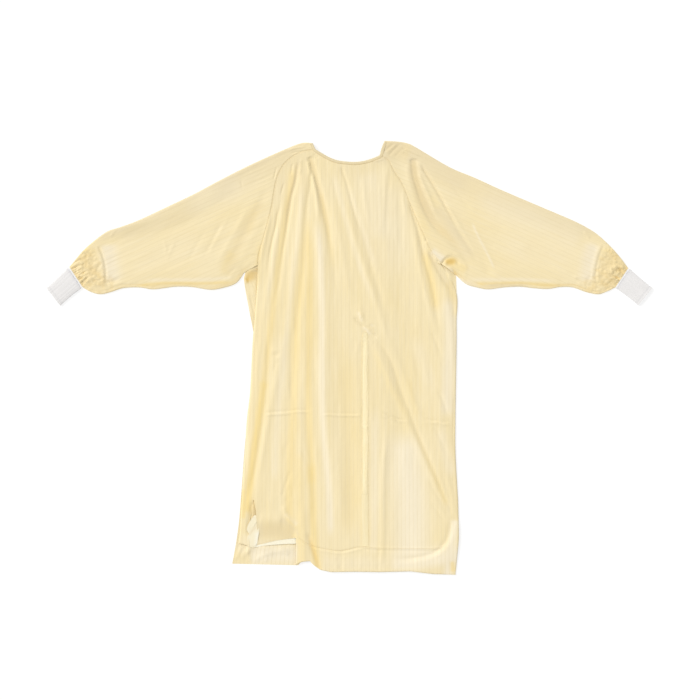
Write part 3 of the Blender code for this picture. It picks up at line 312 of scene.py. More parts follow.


# Painted light and shade: where the thin cloth looks warmer (light comes through several layers),
# paler (one layer over the whitish surface) or greyer (turned from the light): kind 0, 1 or 2,
# strength, half widths, fades, line
PAINTED_LIGHT_LINES = [
    (0, .55, 3.6, 3.2, .05, .0, [(293, 165), (289.5, 190), (286, 215), (281, 245), (276.5, 280), (272, 320), (268, 350), (264, 385)]),
    (0, .95, 4.2, 3.6, .0, .05, [(264, 385), (259.5, 415), (256, 440), (252.5, 465), (249.5, 490), (246, 515)]),
    (0, .65, 3.6, 3.0, .1, .1, [(243.6, 488), (242.8, 504), (243.4, 520)]),
    (0, .65, 2.2, 2.0, .2, .1, [(257, 425), (253.5, 450), (251, 475), (248, 500)]),
    (0, .55, 5.0, 4.4, .15, .05, [(307.5, 200), (305, 240), (301, 280), (297.5, 320), (295.5, 350), (294, 400), (292, 440), (290.5, 480), (289.5, 515), (296, 548)]),
    (0, .60, 3.6, 4.2, .15, .0, [(309.5, 215), (310, 260), (309.5, 300), (309, 350), (308.5, 400), (310, 440), (311.5, 480)]),
    (0, .75, 3.8, 4.2, .1, .0, [(311, 460), (312, 490), (313, 520), (314.5, 545), (317, 570)]),
    (0, .30, 4.5, 4.5, .1, .0, [(299, 450), (300, 500), (302, 562)]),
    (0, .35, 2.6, 2.6, .1, .3, [(320, 190), (324.5, 215), (329, 240), (334, 275)]),
    (0, .22, 7.0, 7.0, .3, .1, [(338, 320), (345, 370), (347, 430), (348, 490), (347, 540)]),
    (0, .22, 6.0, 5.0, .3, .1, [(357, 400), (357, 450), (358, 510)]),
    (0, .30, 4.0, 4.0, .2, .2, [(366, 520), (366, 545)]),
    (0, .30, 5.0, 5.5, .1, .2, [(413, 160), (417, 190), (422, 215), (428, 245)]),
    (0, .22, 5.0, 5.0, .2, .2, [(430, 190), (440, 215), (449, 238)]),
    (0, .60, 5.0, 5.0, .2, .2, [(424, 246), (428, 265), (432, 285), (437, 315)]),
    (0, .45, 5.0, 6.0, .2, .2, [(446, 259), (454, 264), (468, 272)]),
    (0, .35, 4.0, 3.5, .2, .2, [(447, 278), (453, 296), (455.5, 320)]),
    (0, .30, 3.5, 3.5, .2, .3, [(257, 208), (251, 222), (246, 237)]),
    (0, .45, 5.0, 5.0, .2, .2, [(234, 250), (228, 262), (224, 276)]),
    (0, .35, 3.0, 3.0, .2, .2, [(262, 240), (258, 262), (257, 290)]),
    (0, .18, 3.0, 3.0, .2, .2, [(369, 340), (380, 365), (395, 395), (412, 425)]),
    (0, .40, 2.6, 2.6, .2, .1, [(412, 425), (425, 455), (437, 482), (448, 508)]),
    (0, .25, 2.4, 2.4, .2, .2, [(408, 375), (412, 395), (417, 420)]),
    (0, .35, 11., 12., .1, .1, [(88, 246), (87, 266), (90, 288)]),
    (0, .35, 12., 11., .1, .1, [(610, 246), (611, 266), (608, 288)]),
    (0, .45, 9.0, 9.0, .1, .2, [(385, 150), (400, 150), (412, 154)]),
    (0, .55, 9., 9., .2, .2, [(258, 529), (275, 531), (296, 531)]),
    (1, 1.0, 3.6, 3.6, .15, .15, [(431, 250), (437, 255), (444, 260)]),
    (1, .8, 2.0, 2.0, .2, .2, [(445, 269), (449, 270.5), (453, 272)]),
    (1, .40, 16., 14., .15, .2, [(368, 168), (372, 190), (378, 215), (384, 245)]),
    (1, .30, 14., 14., .2, .3, [(392, 175), (396, 220), (400, 280)]),
    (1, .40, 3.0, 3.0, .1, .2, [(333, 172), (342, 205), (351, 238), (362, 272), (376, 308)]),
    (1, .35, 3.0, 3.0, .2, .3, [(346, 180), (358, 215), (369, 248), (382, 285)]),
    (1, .85, 3.6, 3.4, .1, .05, [(317, 215), (320.5, 260), (322, 310), (322, 360), (322.5, 410), (325, 450), (329, 490), (331, 540)]),
    (1, .35, 2.6, 2.8, .15, .1, [(301.5, 175), (300.5, 205), (297, 240), (292, 280), (287.5, 320), (285, 350)]),
    (1, .45, 4.0, 4.0, .1, .1, [(285, 330), (283, 365), (279, 400), (276, 440), (274, 485)]),
    (1, .30, 2.4, 2.4, .1, .2, [(278, 225), (273, 260), (268, 300)]),
    (1, 1.0, 19., 17., .2, .05, [(404, 425), (408, 470), (411, 500), (412, 560)]),
    (1, .50, 4.4, 3.4, .2, .1, [(376, 400), (375, 450), (375, 500), (374, 560)]),
    (1, .80, 6.0, 7.0, .1, .1, [(448, 295), (450, 340), (448, 380), (447, 420)]),
    (1, .45, 5.0, 6.0, .3, .2, [(437, 420), (445, 450), (453, 480)]),
    (1, .35, 7.0, 7.0, .3, .3, [(414, 330), (424, 365), (434, 395)]),
    (1, 1.0, 11.0, 10.0, .1, .05, [(248, 555), (275, 554), (298, 555)]),
    (1, .40, 8.0, 8.0, .2, .1, [(236, 552), (244, 545), (250, 536)]),
    (1, .35, 7.0, 8.0, .05, .0, [(322, 563), (350, 564), (384, 563)]),
    (1, 1.0, 8.0, 12., .15, .0, [(386, 564), (415, 563), (440, 559), (462, 556)]),
    (1, 1.0, 3.6, 5.0, .05, .0, [(455, 519), (453.5, 530), (451, 545), (447, 575)]),
    (0, .9, 2.4, 2.4, .2, .2, [(452, 560), (452.5, 566), (453, 573)]),
    (1, 1.0, 6.0, 10.0, .15, .15, [(106, 242), (108, 258), (112, 284)]),
    (1, 1.0, 9.0, 6.0, .15, .15, [(596, 242), (591, 258), (588, 284)]),
    (1, .35, 14., 14., .2, .3, [(245, 178), (215, 192), (180, 210)]),
    (1, .25, 14., 14., .3, .3, [(215, 240), (170, 255), (125, 265)]),
    (1, .38, 13., 13., .2, .1, [(470, 195), (505, 208), (545, 222), (585, 240)]),
    (1, .25, 14., 14., .3, .3, [(500, 240), (540, 250), (580, 262)]),
    (0, 1.0, 1.2, 1.3, .15, .15, [(133, 285.6), (148, 284.6), (163, 283.4), (183, 283.2), (205, 283.4), (236, 282)]),
    (0, 1.0, 1.2, 1.3, .15, .15, [(466, 282), (480, 283.6), (500, 283.4), (520, 283.0), (540, 284.2), (563, 285.4)]),
    (1, .55, 1.6, 1.6, .15, .15, [(140, 280.6), (165, 279.6), (205, 279.4), (238, 277)]),
    (1, .55, 1.6, 1.6, .15, .15, [(464, 278), (480, 279.6), (520, 279.4), (560, 281)]),
    (1, .8, .9, .9, .2, .2, [(357, 311), (360, 317), (362.5, 322.5)]),
    (1, .8, .9, .9, .2, .2, [(362, 326.6), (366, 329.4), (371, 335.6)]),
    (2, .5, .9, .9, .2, .2, [(355.5, 316), (358, 320), (361.5, 325)]),
    (2, .5, .9, .9, .2, .2, [(367.5, 327), (371, 331), (376, 336.5)]),
    (1, .5, 1.0, 1.0, .2, .2, [(369.6, 324.4), (372, 325.2), (374, 326.4)]),
    (2, .60, 1.8, 1.8, .1, .05, [(427, 249), (433, 260), (439, 270), (446, 281), (454, 291)]),
    (2, .60, 1.6, 1.6, .1, .1, [(303, 142), (272, 153.5), (246, 165.5), (220, 178.5), (194, 192.5), (168, 205), (139, 218.5), (120, 227.5), (105, 235), (92, 246)]),
    (2, .45, .8, .8, .15, .15, [(140, 285.2), (163, 283.6), (183, 283.4), (205, 283.6), (232, 282.4)]),
    (2, .45, .8, .8, .15, .15, [(470, 282.6), (500, 283.4), (520, 283.0), (540, 284.0), (560, 285.2)]),
    (2, .50, 4.0, 6.5, .1, .1, [(264, 199), (254, 214), (245, 231), (237, 249), (229, 265), (223, 277)]),
    (0, .25, 5.0, 6.0, .1, .1, [(262, 200), (252, 216), (243, 234), (235, 252), (228, 267)]),
    (1, .85, 5.0, 5.0, .15, .15, [(252, 552), (260, 554), (270, 557)]),
    (2, .65, 5.0, .9, .1, .0, [(282, 517), (289, 523.5), (297, 531)]),
    (1, .60, .9, 3.0, .1, .1, [(284, 514), (290, 519.5), (297, 526)]),
    (0, 1.0, 3.0, 2.6, .2, .2, [(445, 262), (450.5, 261), (456, 262.5)]),
    (2, .60, 1.3, 1.3, .05, .05, [(95, 246.5), (98.6, 254.5), (101.4, 263), (102.8, 274), (102.6, 288)]),
    (2, .40, 12., 10., .1, .1, [(449, 174), (480, 190), (520, 208), (560, 224), (592, 240)]),
    (2, 0.66, 5.0, 5.0, .1, .1, [(303, 143), (272, 155), (246, 167), (220, 180), (194, 194), (168, 206.6), (139, 220), (120, 229), (105, 237), (92, 247)]),
    (1, 0.75, 1.0, 1.0, .12, .12, [(471.4, 221.5), (478.6, 237.5), (486.6, 252.5), (495, 270)]),
    (2, 0.80, 12.0, 1.6, .15, .2, [(436, 202), (449, 221), (463, 240), (478, 260)]),
    (2, 0.80, 1.8, 1.6, .2, .1, [(480, 286), (500, 285), (530, 285.5)]),
    (1, 0.90, 2.0, 2.0, .1, .2, [(458, 278.6), (468, 282.6), (480, 284.5)]),
    (2, 0.62, 5.0, 5.0, .1, .1, [(405, 143), (420, 150), (449, 167), (474, 177.5), (497, 188), (520, 198), (557, 214), (573, 220), (590, 230), (605, 243)]),
    (2, 0.47, 11., 11., .1, .1, [(88, 250), (89, 266), (92, 286)]),
    (2, 0.47, 11., 11., .1, .1, [(609, 250), (609, 266), (606, 286)]),
    (2, 0.78, 7.0, 10.5, .02, .08, [(257, 533), (276, 532), (294, 536)]),
    (2, 0.35, 6.0, 6.0, .1, .1, [(108, 244), (109, 262), (112, 284)]),
    (2, 0.35, 6.0, 6.0, .1, .1, [(592, 244), (588, 262), (586, 284)]),
    (2, 0.25, 1.8, 2.2, .0, .4, [(310, 158), (315, 172), (319.5, 188), (323.5, 204), (327, 221), (331, 240)]),
    (2, 0.47, 2.6, 3.4, .0, .3, [(412.5, 158), (415, 174), (418.5, 187), (423, 200), (428.5, 213), (434, 223), (440, 231)]),
    (2, 0.39, 1.6, 1.6, .1, .3, [(420, 163), (428, 177), (436, 191), (443, 204), (450, 217), (457, 230)]),
    (2, 0.60, 2.2, 2.2, .0, .4, [(299, 160), (295.5, 178), (291, 196), (287.5, 214), (284, 234)]),
    (2, 0.30, 6.0, 6.0, .1, .4, [(302, 164), (301, 190), (298, 215)]),
    (2, 0.58, 12., 13., .2, .2, [(318, 146), (295, 152), (270, 164), (240, 178), (205, 196)]),
    (2, 0.43, 7.0, 8.0, .2, .2, [(205, 196), (170, 218), (130, 234), (108, 238)]),
    (2, 1.0, 9., 9., .0, .1, [(381, 156), (388, 150), (396, 144), (404, 142)]),
    (2, 0.74, 12., 13., .1, .2, [(385, 146), (405, 150), (425, 160), (448, 175), (475, 190)]),
    (2, 0.74, 7.0, 8.0, .1, .3, [(413, 162), (418, 188), (426, 208), (437, 226)]),
    (2, 0.23, 8.0, 8.0, .2, .2, [(448, 205), (460, 225), (474, 245), (488, 262)]),
    (2, 0.31, 9.0, 9.0, .3, .3, [(285, 165), (278, 190), (272, 215)]),
    (2, 0.27, 12., 12., .3, .3, [(330, 165), (350, 168), (385, 166)]),
    (2, 0.23, 8.0, 8.0, .3, .3, [(384, 180), (386, 220), (386, 260)]),
    (2, 0.20, 6.0, 6.0, .3, .3, [(356, 215), (372, 250), (388, 280)]),
]


# ---------------------------------------------------------------- helpers
def smooth_rows(table, at):
    """Values of a table of rows at fractional row numbers, on a smooth curve."""
    t = np.asarray(table, float)
    at = np.clip(np.atleast_1d(np.asarray(at, float)), 0, len(t) - 1)
    k = np.minimum(at.astype(int), len(t) - 2)
    f = (at - k).reshape((-1,) + (1,) * (t.ndim - 1))
    before, after = t[np.maximum(k - 1, 0)], t[np.minimum(k + 2, len(t) - 1)]
    p, q = t[k], t[k + 1]
    mp, mq = (q - before) / 2, (after - p) / 2
    return ((2 * f**3 - 3 * f**2 + 1) * p + (f**3 - 2 * f**2 + f) * mp
            + (3 * f**2 - 2 * f**3) * q + (f**3 - f**2) * mq)


def along(table, share):
    """Points of a smooth curve through the table at shares of its length."""
    fine = np.linspace(0, len(table) - 1, 24 * (len(table) - 1) + 1)
    pts = smooth_rows(table, fine)
    run = np.concatenate([[0], np.cumsum(np.linalg.norm(np.diff(pts, axis=0), axis=1))])
    want = np.atleast_1d(share) * run[-1]
    return np.stack([np.interp(want, run, pts[:, i]) for i in range(pts.shape[1])], 1)


def height_at(table, across):
    t = np.asarray(table, float)
    return np.interp(across, t[:, 0], t[:, 1])


def ease(x):
    x = np.clip(x, 0, 1)
    return x * x * (3 - 2 * x)


def turn(path):
    """Unit directions across a path, to its left."""
    step = np.gradient(np.asarray(path, float), axis=0)
    step /= np.linalg.norm(step, axis=1)[:, None]
    return np.stack([-step[:, 1], step[:, 0]], 1)


def to_units(x, y):
    return np.asarray(x, float) / UNIT_CM + 349.5, 357.5 - np.asarray(y, float) / UNIT_CM


def from_units(points):
    p = np.asarray(points, float)
    return np.stack([(p[..., 0] - 349.5) * UNIT_CM, (357.5 - p[..., 1]) * UNIT_CM], -1)


def near_line(a, d, line, reach, pieces=5):
    """Where points lie against a line: which points are near, their distance with its
    side (positive to the right of a line that is followed downwards), the share of the
    line, and the run along it."""
    pts = along(line, np.linspace(0, 1, pieces * (len(line) - 1) + 1))
    sel = np.where((a > pts[:, 0].min() - reach) & (a < pts[:, 0].max() + reach)
                   & (d > pts[:, 1].min() - reach) & (d < pts[:, 1].max() + reach))[0]
    x, y = a[sel], d[sel]
    best = np.full(x.shape, 1e9)
    side = np.zeros(x.shape)
    share = np.zeros(x.shape)
    for i, (p, q) in enumerate(zip(pts[:-1], pts[1:])):
        e = q - p
        size = np.hypot(*e)
        t = np.clip(((x - p[0]) * e[0] + (y - p[1]) * e[1]) / size**2, 0, 1)
        gx, gy = x - p[0] - t * e[0], y - p[1] - t * e[1]
        gap = np.hypot(gx, gy)
        closer = gap < best
        best = np.where(closer, gap, best)
        side = np.where(closer, np.sign(e[1] * (x - p[0]) - e[0] * (y - p[1])), side)
        share = np.where(closer, (i + t) / (len(pts) - 1), share)
    length = np.sum(np.hypot(*np.diff(pts, axis=0).T))
    return sel, best * side, share, share * length


def fades(share, start, end):
    f = np.ones(share.shape)
    if start > 0:
        f *= ease(share / start)
    if end > 0:
        f *= ease((1 - share) / end)
    return f


def fold_field(a, d, folds):
    """Height in metres that the folds add at points in layout units."""
    total = np.zeros(a.shape)
    for height, left, right, start, end, line in folds:
        sel, gap, share, run = near_line(a, d, line, 3.0 * max(left, right))
        wide = np.where(gap < 0, left, right)
        total[sel] += height / 1000 * FOLD_SCALE * fades(share, start, end) * np.exp(-(gap / wide) ** 2)
    return total


def face_field(a, d):
    total = np.zeros(a.shape)
    for slope, reach, soft, start, end, line in FACES:
        sel, gap, share, run = near_line(a, d, line, reach * 2.5, 6)
        rise = 0.5 * (gap + np.sqrt(gap**2 + soft**2))
        rise = np.minimum(rise, reach)
        total[sel] += slope * rise * UNIT_CM * CM * fades(share, start, end)
    return total


def lattice(x, y, seed):
    """Smooth repeatable noise, about -1 to 1, one cell for each whole number."""
    table = np.random.RandomState(seed).uniform(-1, 1, (128, 128))
    ix, iy = np.floor(x).astype(int), np.floor(y).astype(int)
    fx, fy = ease(x - ix), ease(y - iy)
    at = lambda i, j: table[(iy + j) % 128, (ix + i) % 128]
    return (at(0, 0) * (1 - fx) + at(1, 0) * fx) * (1 - fy) + (at(0, 1) * (1 - fx) + at(1, 1) * fx) * fy


def spots(a, d, table):
    total = np.zeros(a.shape)
    for cx, cy, half_long, half_wide, angle, strength in table:
        r = math.radians(angle)
        u = (a - cx) * math.cos(r) + (d - cy) * math.sin(r)
        v = -(a - cx) * math.sin(r) + (d - cy) * math.cos(r)
        total = np.maximum(total, strength * np.exp(-((u / half_long) ** 2 + (v / half_wide) ** 2) ** 1.5))
    return total


def painted_light_field(a, d):
    """How much painted light makes the cloth warmer or paler, and painted shade greyer, at points in layout units."""
    total = np.zeros((3,) + a.shape)
    for kind, strength, left, right, start, end, line in PAINTED_LIGHT_LINES:
        sel, gap, share, run = near_line(a, d, line, 2.4 * max(left, right))
        wide = np.where(gap < 0, left, right)
        add = strength * fades(share, start, end) * np.exp(-np.abs(gap / wide) ** 2.4)
        total[kind, sel] = 1 - (1 - total[kind, sel]) * (1 - add)
    total[1] *= 1 - 0.8 * total[0]
    return np.moveaxis(total, 0, -1)


def painted_light_of(pts_cm):
    a, d = to_units(pts_cm[..., 0].ravel(), pts_cm[..., 1].ravel())
    return painted_light_field(a, d).reshape(*pts_cm.shape[:-1], 3)


# seams as lines in layout units, from the neck down
left_edge = [NECKLINE[0]] + [r[0:2] for r in FRONT_ROWS]
right_edge = [NECKLINE[-1]] + [r[2:4] for r in FRONT_ROWS]
SEAMS = [[tuple(p) for p in np.stack(to_units(*np.array(e[:SEAM_ROWS + 1]).T), 1)] for e in (left_edge, right_edge)]


def upper(x, y, area):
    """Mid height of the upper cloth, and the painted shade it gets in listed spots and valleys, at points in cm.
    area is body, left or right (sleeve)."""
    x, y = np.asarray(x, float), np.asarray(y, float)
    shape = x.shape
    x, y = x.ravel(), y.ravel()
    a, d = to_units(x, y)
    middle = ease((x + 17) / 6) * ease((14 - x) / 5)
    low = BASE_SIDE + (BASE_MIDDLE - BASE_SIDE) * middle
    relief = fold_field(a, d, FOLDS) + face_field(a, d)
    # fine unevenness along the thread direction, gone at the raglan seams
    if area == "body":
        p, q = a, d
    else:
        r = math.radians(24 if area == "right" else -24)
        p, q = -a * math.sin(r) + d * math.cos(r), a * math.cos(r) + d * math.sin(r)
    shift = lattice(p / 30, q / 60, 5) * 3
    fine = (0.45 * lattice((p + shift) / 4.3, q / 46, 11) + 0.28 * lattice((p - shift) / 2.1, q / 24, 12)
            + 0.35 * lattice(p / 11 + 7, q / 70, 13) + 0.16 * lattice(p / 2.6, q / 5.5, 14)) / 1000
    keep = np.ones(x.shape)
    seam = np.zeros(x.shape)
    for number, line in enumerate(SEAMS):
        sel, gap, share, run = near_line(a, d, line, 9.0, 8)
        keep[sel] = np.minimum(keep[sel], ease((np.abs(gap) - 0.4) / 6.0))
        pucker = lattice(run / 1.7, np.zeros(run.shape) + 3.5 + number, 21)
        seam[sel] += (-0.24 * np.exp(-(gap / 0.7) ** 2) + 0.35 * pucker * np.exp(-(gap / 2.4) ** 2)) / 1000
    relief = relief + seam + fine * keep
    mean = 0.0034
    v = mean + relief
    soft = 0.0011
    z = low + 0.5 * (v + np.sqrt(v * v + soft * soft))
    # painted shade: the listed spots, and darker colour the lower a valley lies
    painted_shade = spots(a, d, PAINTED_SHADE_SPOTS)
    painted_shade = np.maximum(painted_shade, 0.16 * ease((-relief - 0.0015) / 0.0060))
    return z.reshape(shape), painted_shade.reshape(shape)


# ---------------------------------------------------------------- shells
def shell(name, pts, material, thickness, wrap_from=None, drop=None, attributes=None):
    """A closed thin shell round a sheet of points[row, column], in metres."""
    rows, cols = pts.shape[:2]
    index = np.arange(rows * cols).reshape(rows, cols)
    if wrap_from is not None:
        index = index.copy()
        index[wrap_from:, -1] = index[wrap_from:, 0]
    quads = np.stack([index[:-1, :-1], index[:-1, 1:], index[1:, 1:], index[1:, :-1]], -1).reshape(-1, 4)
    if drop is not None:
        quads = quads[~drop(*np.divmod(np.arange(len(quads)), cols - 1))]
    used = np.unique(quads)
    renumber = np.full(rows * cols, -1)
    renumber[used] = np.arange(len(used))
    quads = renumber[quads]
    v = pts.reshape(-1, 3)[used]
    normal = np.zeros_like(v)
    cross = np.cross(v[quads[:, 2]] - v[quads[:, 0]], v[quads[:, 3]] - v[quads[:, 1]])
    for i in range(4):
        np.add.at(normal, quads[:, i], cross)
    normal /= np.linalg.norm(normal, axis=1)[:, None] + 1e-12
    n = len(v)
    both = np.concatenate([v + normal * thickness / 2, v - normal * thickness / 2])
    edges = np.concatenate([quads[:, [i, (i + 1) % 4]] for i in range(4)])
    key = np.sort(edges, axis=1) @ np.array([n, 1])
    unique, first, count = np.unique(key, return_index=True, return_counts=True)
    rim = edges[first[count == 1]]
    rim_quads = np.stack([rim[:, 1], rim[:, 0], rim[:, 0] + n, rim[:, 1] + n], 1)
    faces = np.concatenate([quads, quads[:, ::-1] + n, rim_quads])
    mesh = bpy.data.meshes.new(name)
    mesh.vertices.add(len(both))
    mesh.vertices.foreach_set("co", both.ravel())
    mesh.loops.add(faces.size)
    mesh.loops.foreach_set("vertex_index", faces.ravel().astype(np.int32))
    mesh.polygons.add(len(faces))
    mesh.polygons.foreach_set("loop_start", np.arange(0, faces.size, 4, dtype=np.int32))
    mesh.update(calc_edges=True)
    mesh.validate()
    mesh.shade_smooth()
    # the two faces of the sheet meet its cut edge at a corner, not in a round
    ends = np.empty(len(mesh.edges) * 2, dtype=np.int32)
    mesh.edges.foreach_get("vertices", ends)
    ends = np.sort(ends.reshape(-1, 2), 1) @ np.array([2 * n, 1])
    cut = np.sort(rim, 1) @ np.array([2 * n, 1])
    mesh.edges.foreach_set("use_edge_sharp", np.isin(ends, np.concatenate([cut, cut + 2 * n * n + n])))
    for key, values in (attributes or {}).items():
        flat = np.asarray(values, float).reshape(rows * cols, -1)[used]
        flat = np.concatenate([flat, flat])
        if flat.shape[1] == 1:
            mesh.attributes.new(key, "FLOAT", "POINT").data.foreach_set("value", flat.ravel())
        else:
            full = np.zeros((len(flat), 3))
            full[:, :flat.shape[1]] = flat
            mesh.attributes.new(key, "FLOAT_VECTOR", "POINT").data.foreach_set("vector", full.ravel())
    ob = bpy.data.objects.new(name, mesh)
    bpy.context.scene.collection.objects.link(ob)
    mesh.materials.append(material)
    return ob


def arc_excess(pts, axis, centre):
    """How much longer the cloth is than its plan, counted along rows from a column."""
    step = np.diff(pts, axis=axis)
    extra = np.linalg.norm(step, axis=-1) - np.linalg.norm(step[..., :2], axis=-1)
    run = np.concatenate([np.zeros_like(extra[:, :1]), np.cumsum(extra, axis=1)], 1)
    return run - run[:, centre][:, None]


# ---------------------------------------------------------------- materials
class Graph:
    """Short hand for a material's node tree."""

    def __init__(self, name):
        self.mat = bpy.data.materials.new(name)
        self.mat.use_nodes = True
        self.tree = self.mat.node_tree
        self.shader = self.tree.nodes["Principled BSDF"]

    def node(self, kind, **settings):
        n = self.tree.nodes.new(kind)
        for key, value in settings.items():
            setattr(n, key, value)
        return n

    def link(self, out, into):
        self.tree.links.new(out, into)

    def math(self, op, *values, clamp=False):
        n = self.node("ShaderNodeMath", operation=op, use_clamp=clamp)
        for i, v in enumerate(values):
            if hasattr(v, "node"):
                self.link(v, n.inputs[i])
            else:
                n.inputs[i].default_value = v
        return n.outputs[0]

    def attribute(self, name, out="Vector"):
        return self.node("ShaderNodeAttribute", attribute_name=name, attribute_type="GEOMETRY").outputs[out]

    def split(self, vector):
        n = self.node("ShaderNodeSeparateXYZ")
        self.link(vector, n.inputs[0])
        return n.outputs[0], n.outputs[1], n.outputs[2]

    def join(self, x, y, z=0.0):
        n = self.node("ShaderNodeCombineXYZ")
        for i, v in enumerate((x, y, z)):
            if hasattr(v, "node"):
                self.link(v, n.inputs[i])
            else:
                n.inputs[i].default_value = v
        return n.outputs[0]

    def ramp(self, value, low, high, out_low=0.0, out_high=1.0):
        n = self.node("ShaderNodeMapRange", interpolation_type="SMOOTHSTEP")
        self.link(value, n.inputs["Value"])
        n.inputs["From Min"].default_value = low
        n.inputs["From Max"].default_value = high
        n.inputs["To Min"].default_value = out_low
        n.inputs["To Max"].default_value = out_high
        return n.outputs["Result"]

    def noise(self, vector, scale, detail=2.0, rough=0.5):
        n = self.node("ShaderNodeTexNoise")
        self.link(vector, n.inputs["Vector"])
        n.inputs["Scale"].default_value = scale
        n.inputs["Detail"].default_value = detail
        n.inputs["Roughness"].default_value = rough
        return n.outputs["Fac"]

    def mix(self, fac, a, b, mode="MIX"):
        n = self.node("ShaderNodeMix", data_type="RGBA", blend_type=mode)
        for sock, v in ((n.inputs[0], fac), (n.inputs[6], a), (n.inputs[7], b)):
            if hasattr(v, "node"):
                self.link(v, sock)
            elif isinstance(v, tuple):
                sock.default_value = (*v, 1.0)
            else:
                sock.default_value = v
        return n.outputs[2]

    def bump(self, height, strength, distance, onto=None):
        n = self.node("ShaderNodeBump")
        n.inputs["Strength"].default_value = strength
        n.inputs["Distance"].default_value = distance
        self.link(height, n.inputs["Height"])
        if onto is not None:
            self.link(onto, n.inputs["Normal"])
        return n.outputs[0]


CLOTH_LIGHT = (0.925, 0.800, 0.520)
CLOTH_SHADE = (0.905, 0.765, 0.455)
# dark thread and painted shade colour
CLOTH_THREAD_AND_PAINTED_SHADE = (0.800, 0.560, 0.190)
CLOTH_STRIPE = (0.790, 0.665, 0.410)
# painted light and shade colours: warmer, paler, greyer
CLOTH_PAINTED_WARM_LIGHT = (0.930, 0.720, 0.300)
CLOTH_PAINTED_PALE_LIGHT = (0.945, 0.850, 0.650)
CLOTH_PAINTED_GREY_SHADE = (0.770, 0.655, 0.440)


def woven(name, light, shade, thread_and_painted_shade_colour, stripe_colour, stripe=0.5, gloss=0.52):
    """Fine plain weave with a thin darker thread line every 10.6 mm."""
    g = Graph(name)
    u, v, _ = g.split(g.attribute("cloth"))
    slub = g.noise(g.join(g.math("MULTIPLY", u, 420.0), g.math("MULTIPLY", v, 9.0)), 1.0, 2.0)
    patch = g.noise(g.join(g.math("MULTIPLY", u, 9.0), g.math("MULTIPLY", v, 5.0)), 1.0, 3.0)
    tone = g.math("ADD", g.math("MULTIPLY", slub, 0.45), g.math("MULTIPLY", patch, 0.55))
    colour = g.mix(g.ramp(tone, 0.36, 0.64), light, shade)
    weave_u = g.math("SINE", g.math("MULTIPLY", u, 2 * math.pi / 0.00055))
    weave_v = g.math("SINE", g.math("MULTIPLY", v, 2 * math.pi / 0.00050))
    weave = g.math("MULTIPLY", weave_u, weave_v)
    colour = g.mix(g.math("MULTIPLY_ADD", weave, 0.03, 0.03), colour, thread_and_painted_shade_colour)
    height = weave
    # painted light and shade from the attribute: warmer, paler and greyer colour
    painted_warm, painted_pale, painted_grey = g.split(g.attribute("painted_light"))
    colour = g.mix(g.math("MULTIPLY", painted_warm, 0.85), colour, CLOTH_PAINTED_WARM_LIGHT)
    colour = g.mix(g.math("MULTIPLY", painted_pale, 0.85), colour, CLOTH_PAINTED_PALE_LIGHT)
    colour = g.mix(g.math("MULTIPLY", painted_grey, 0.60), colour, CLOTH_PAINTED_GREY_SHADE)
    if stripe:
        gap = g.math("PINGPONG", u, 0.0053)
        line = g.ramp(gap, 0.00030, 0.00075, 1.0, 0.0)
        halo = g.ramp(gap, 0.0008, 0.0022, 0.16, 0.0)
        worn = g.ramp(g.noise(g.join(g.math("MULTIPLY", u, 60.0), g.math("MULTIPLY", v, 25.0)), 1.0, 1.0), 0.3, 0.7, 0.55, 1.0)
        colour = g.mix(g.math("MULTIPLY", g.math("MAXIMUM", line, halo), g.math("MULTIPLY", worn, stripe)), colour, stripe_colour)
    # painted shade in listed spots, valleys and along edges
    painted_shade = g.attribute("painted_shade", "Fac")
    colour = g.mix(painted_shade, colour, thread_and_painted_shade_colour)
    # rows of stitches a little inside every sewn edge
    s, run, _ = g.split(g.attribute("stitch"))
    row = g.ramp(g.math("ABSOLUTE", g.math("SUBTRACT", s, 0.0024)), 0.00018, 0.00045, 1.0, 0.0)
    dash = g.ramp(g.math("SINE", g.math("MULTIPLY", run, 2 * math.pi / 0.0027)), -0.55, -0.1)
    stitch = g.math("MULTIPLY", row, dash)
    ditch = g.ramp(g.math("ABSOLUTE", g.math("SUBTRACT", s, 0.0024)), 0.0003, 0.0012, 1.0, 0.0)
    # painted shade: the groove along the stitches is darkened too
    colour = g.mix(g.math("MULTIPLY", ditch, 0.22), colour, thread_and_painted_shade_colour)
    colour = g.mix(g.math("MULTIPLY", stitch, 0.6), colour, (0.93, 0.83, 0.60))
    g.link(colour, g.shader.inputs["Base Color"])
    rough = g.ramp(tone, 0.3, 0.7, gloss - 0.04, gloss + 0.06)
    g.link(rough, g.shader.inputs["Roughness"])
    wrinkle = g.noise(g.join(g.math("MULTIPLY", u, 150.0), g.math("MULTIPLY", v, 40.0)), 1.0, 3.0, 0.55)
    bumped = g.bump(wrinkle, 0.35, 0.0010)
    bumped = g.bump(height, 0.25, 0.00005, bumped)
    bumped = g.bump(g.math("SUBTRACT", stitch, g.math("MULTIPLY", ditch, 0.8)), 0.6, 0.0003, bumped)
    g.link(bumped, g.shader.inputs["Normal"])
    g.shader.inputs["Specular IOR Level"].default_value = 0.28
    g.shader.inputs["Sheen Weight"].default_value = 0.12
    g.shader.inputs["Sheen Roughness"].default_value = 0.45
    g.shader.inputs["Sheen Tint"].default_value = (1.0, 0.93, 0.78, 1.0)
    return g.mat


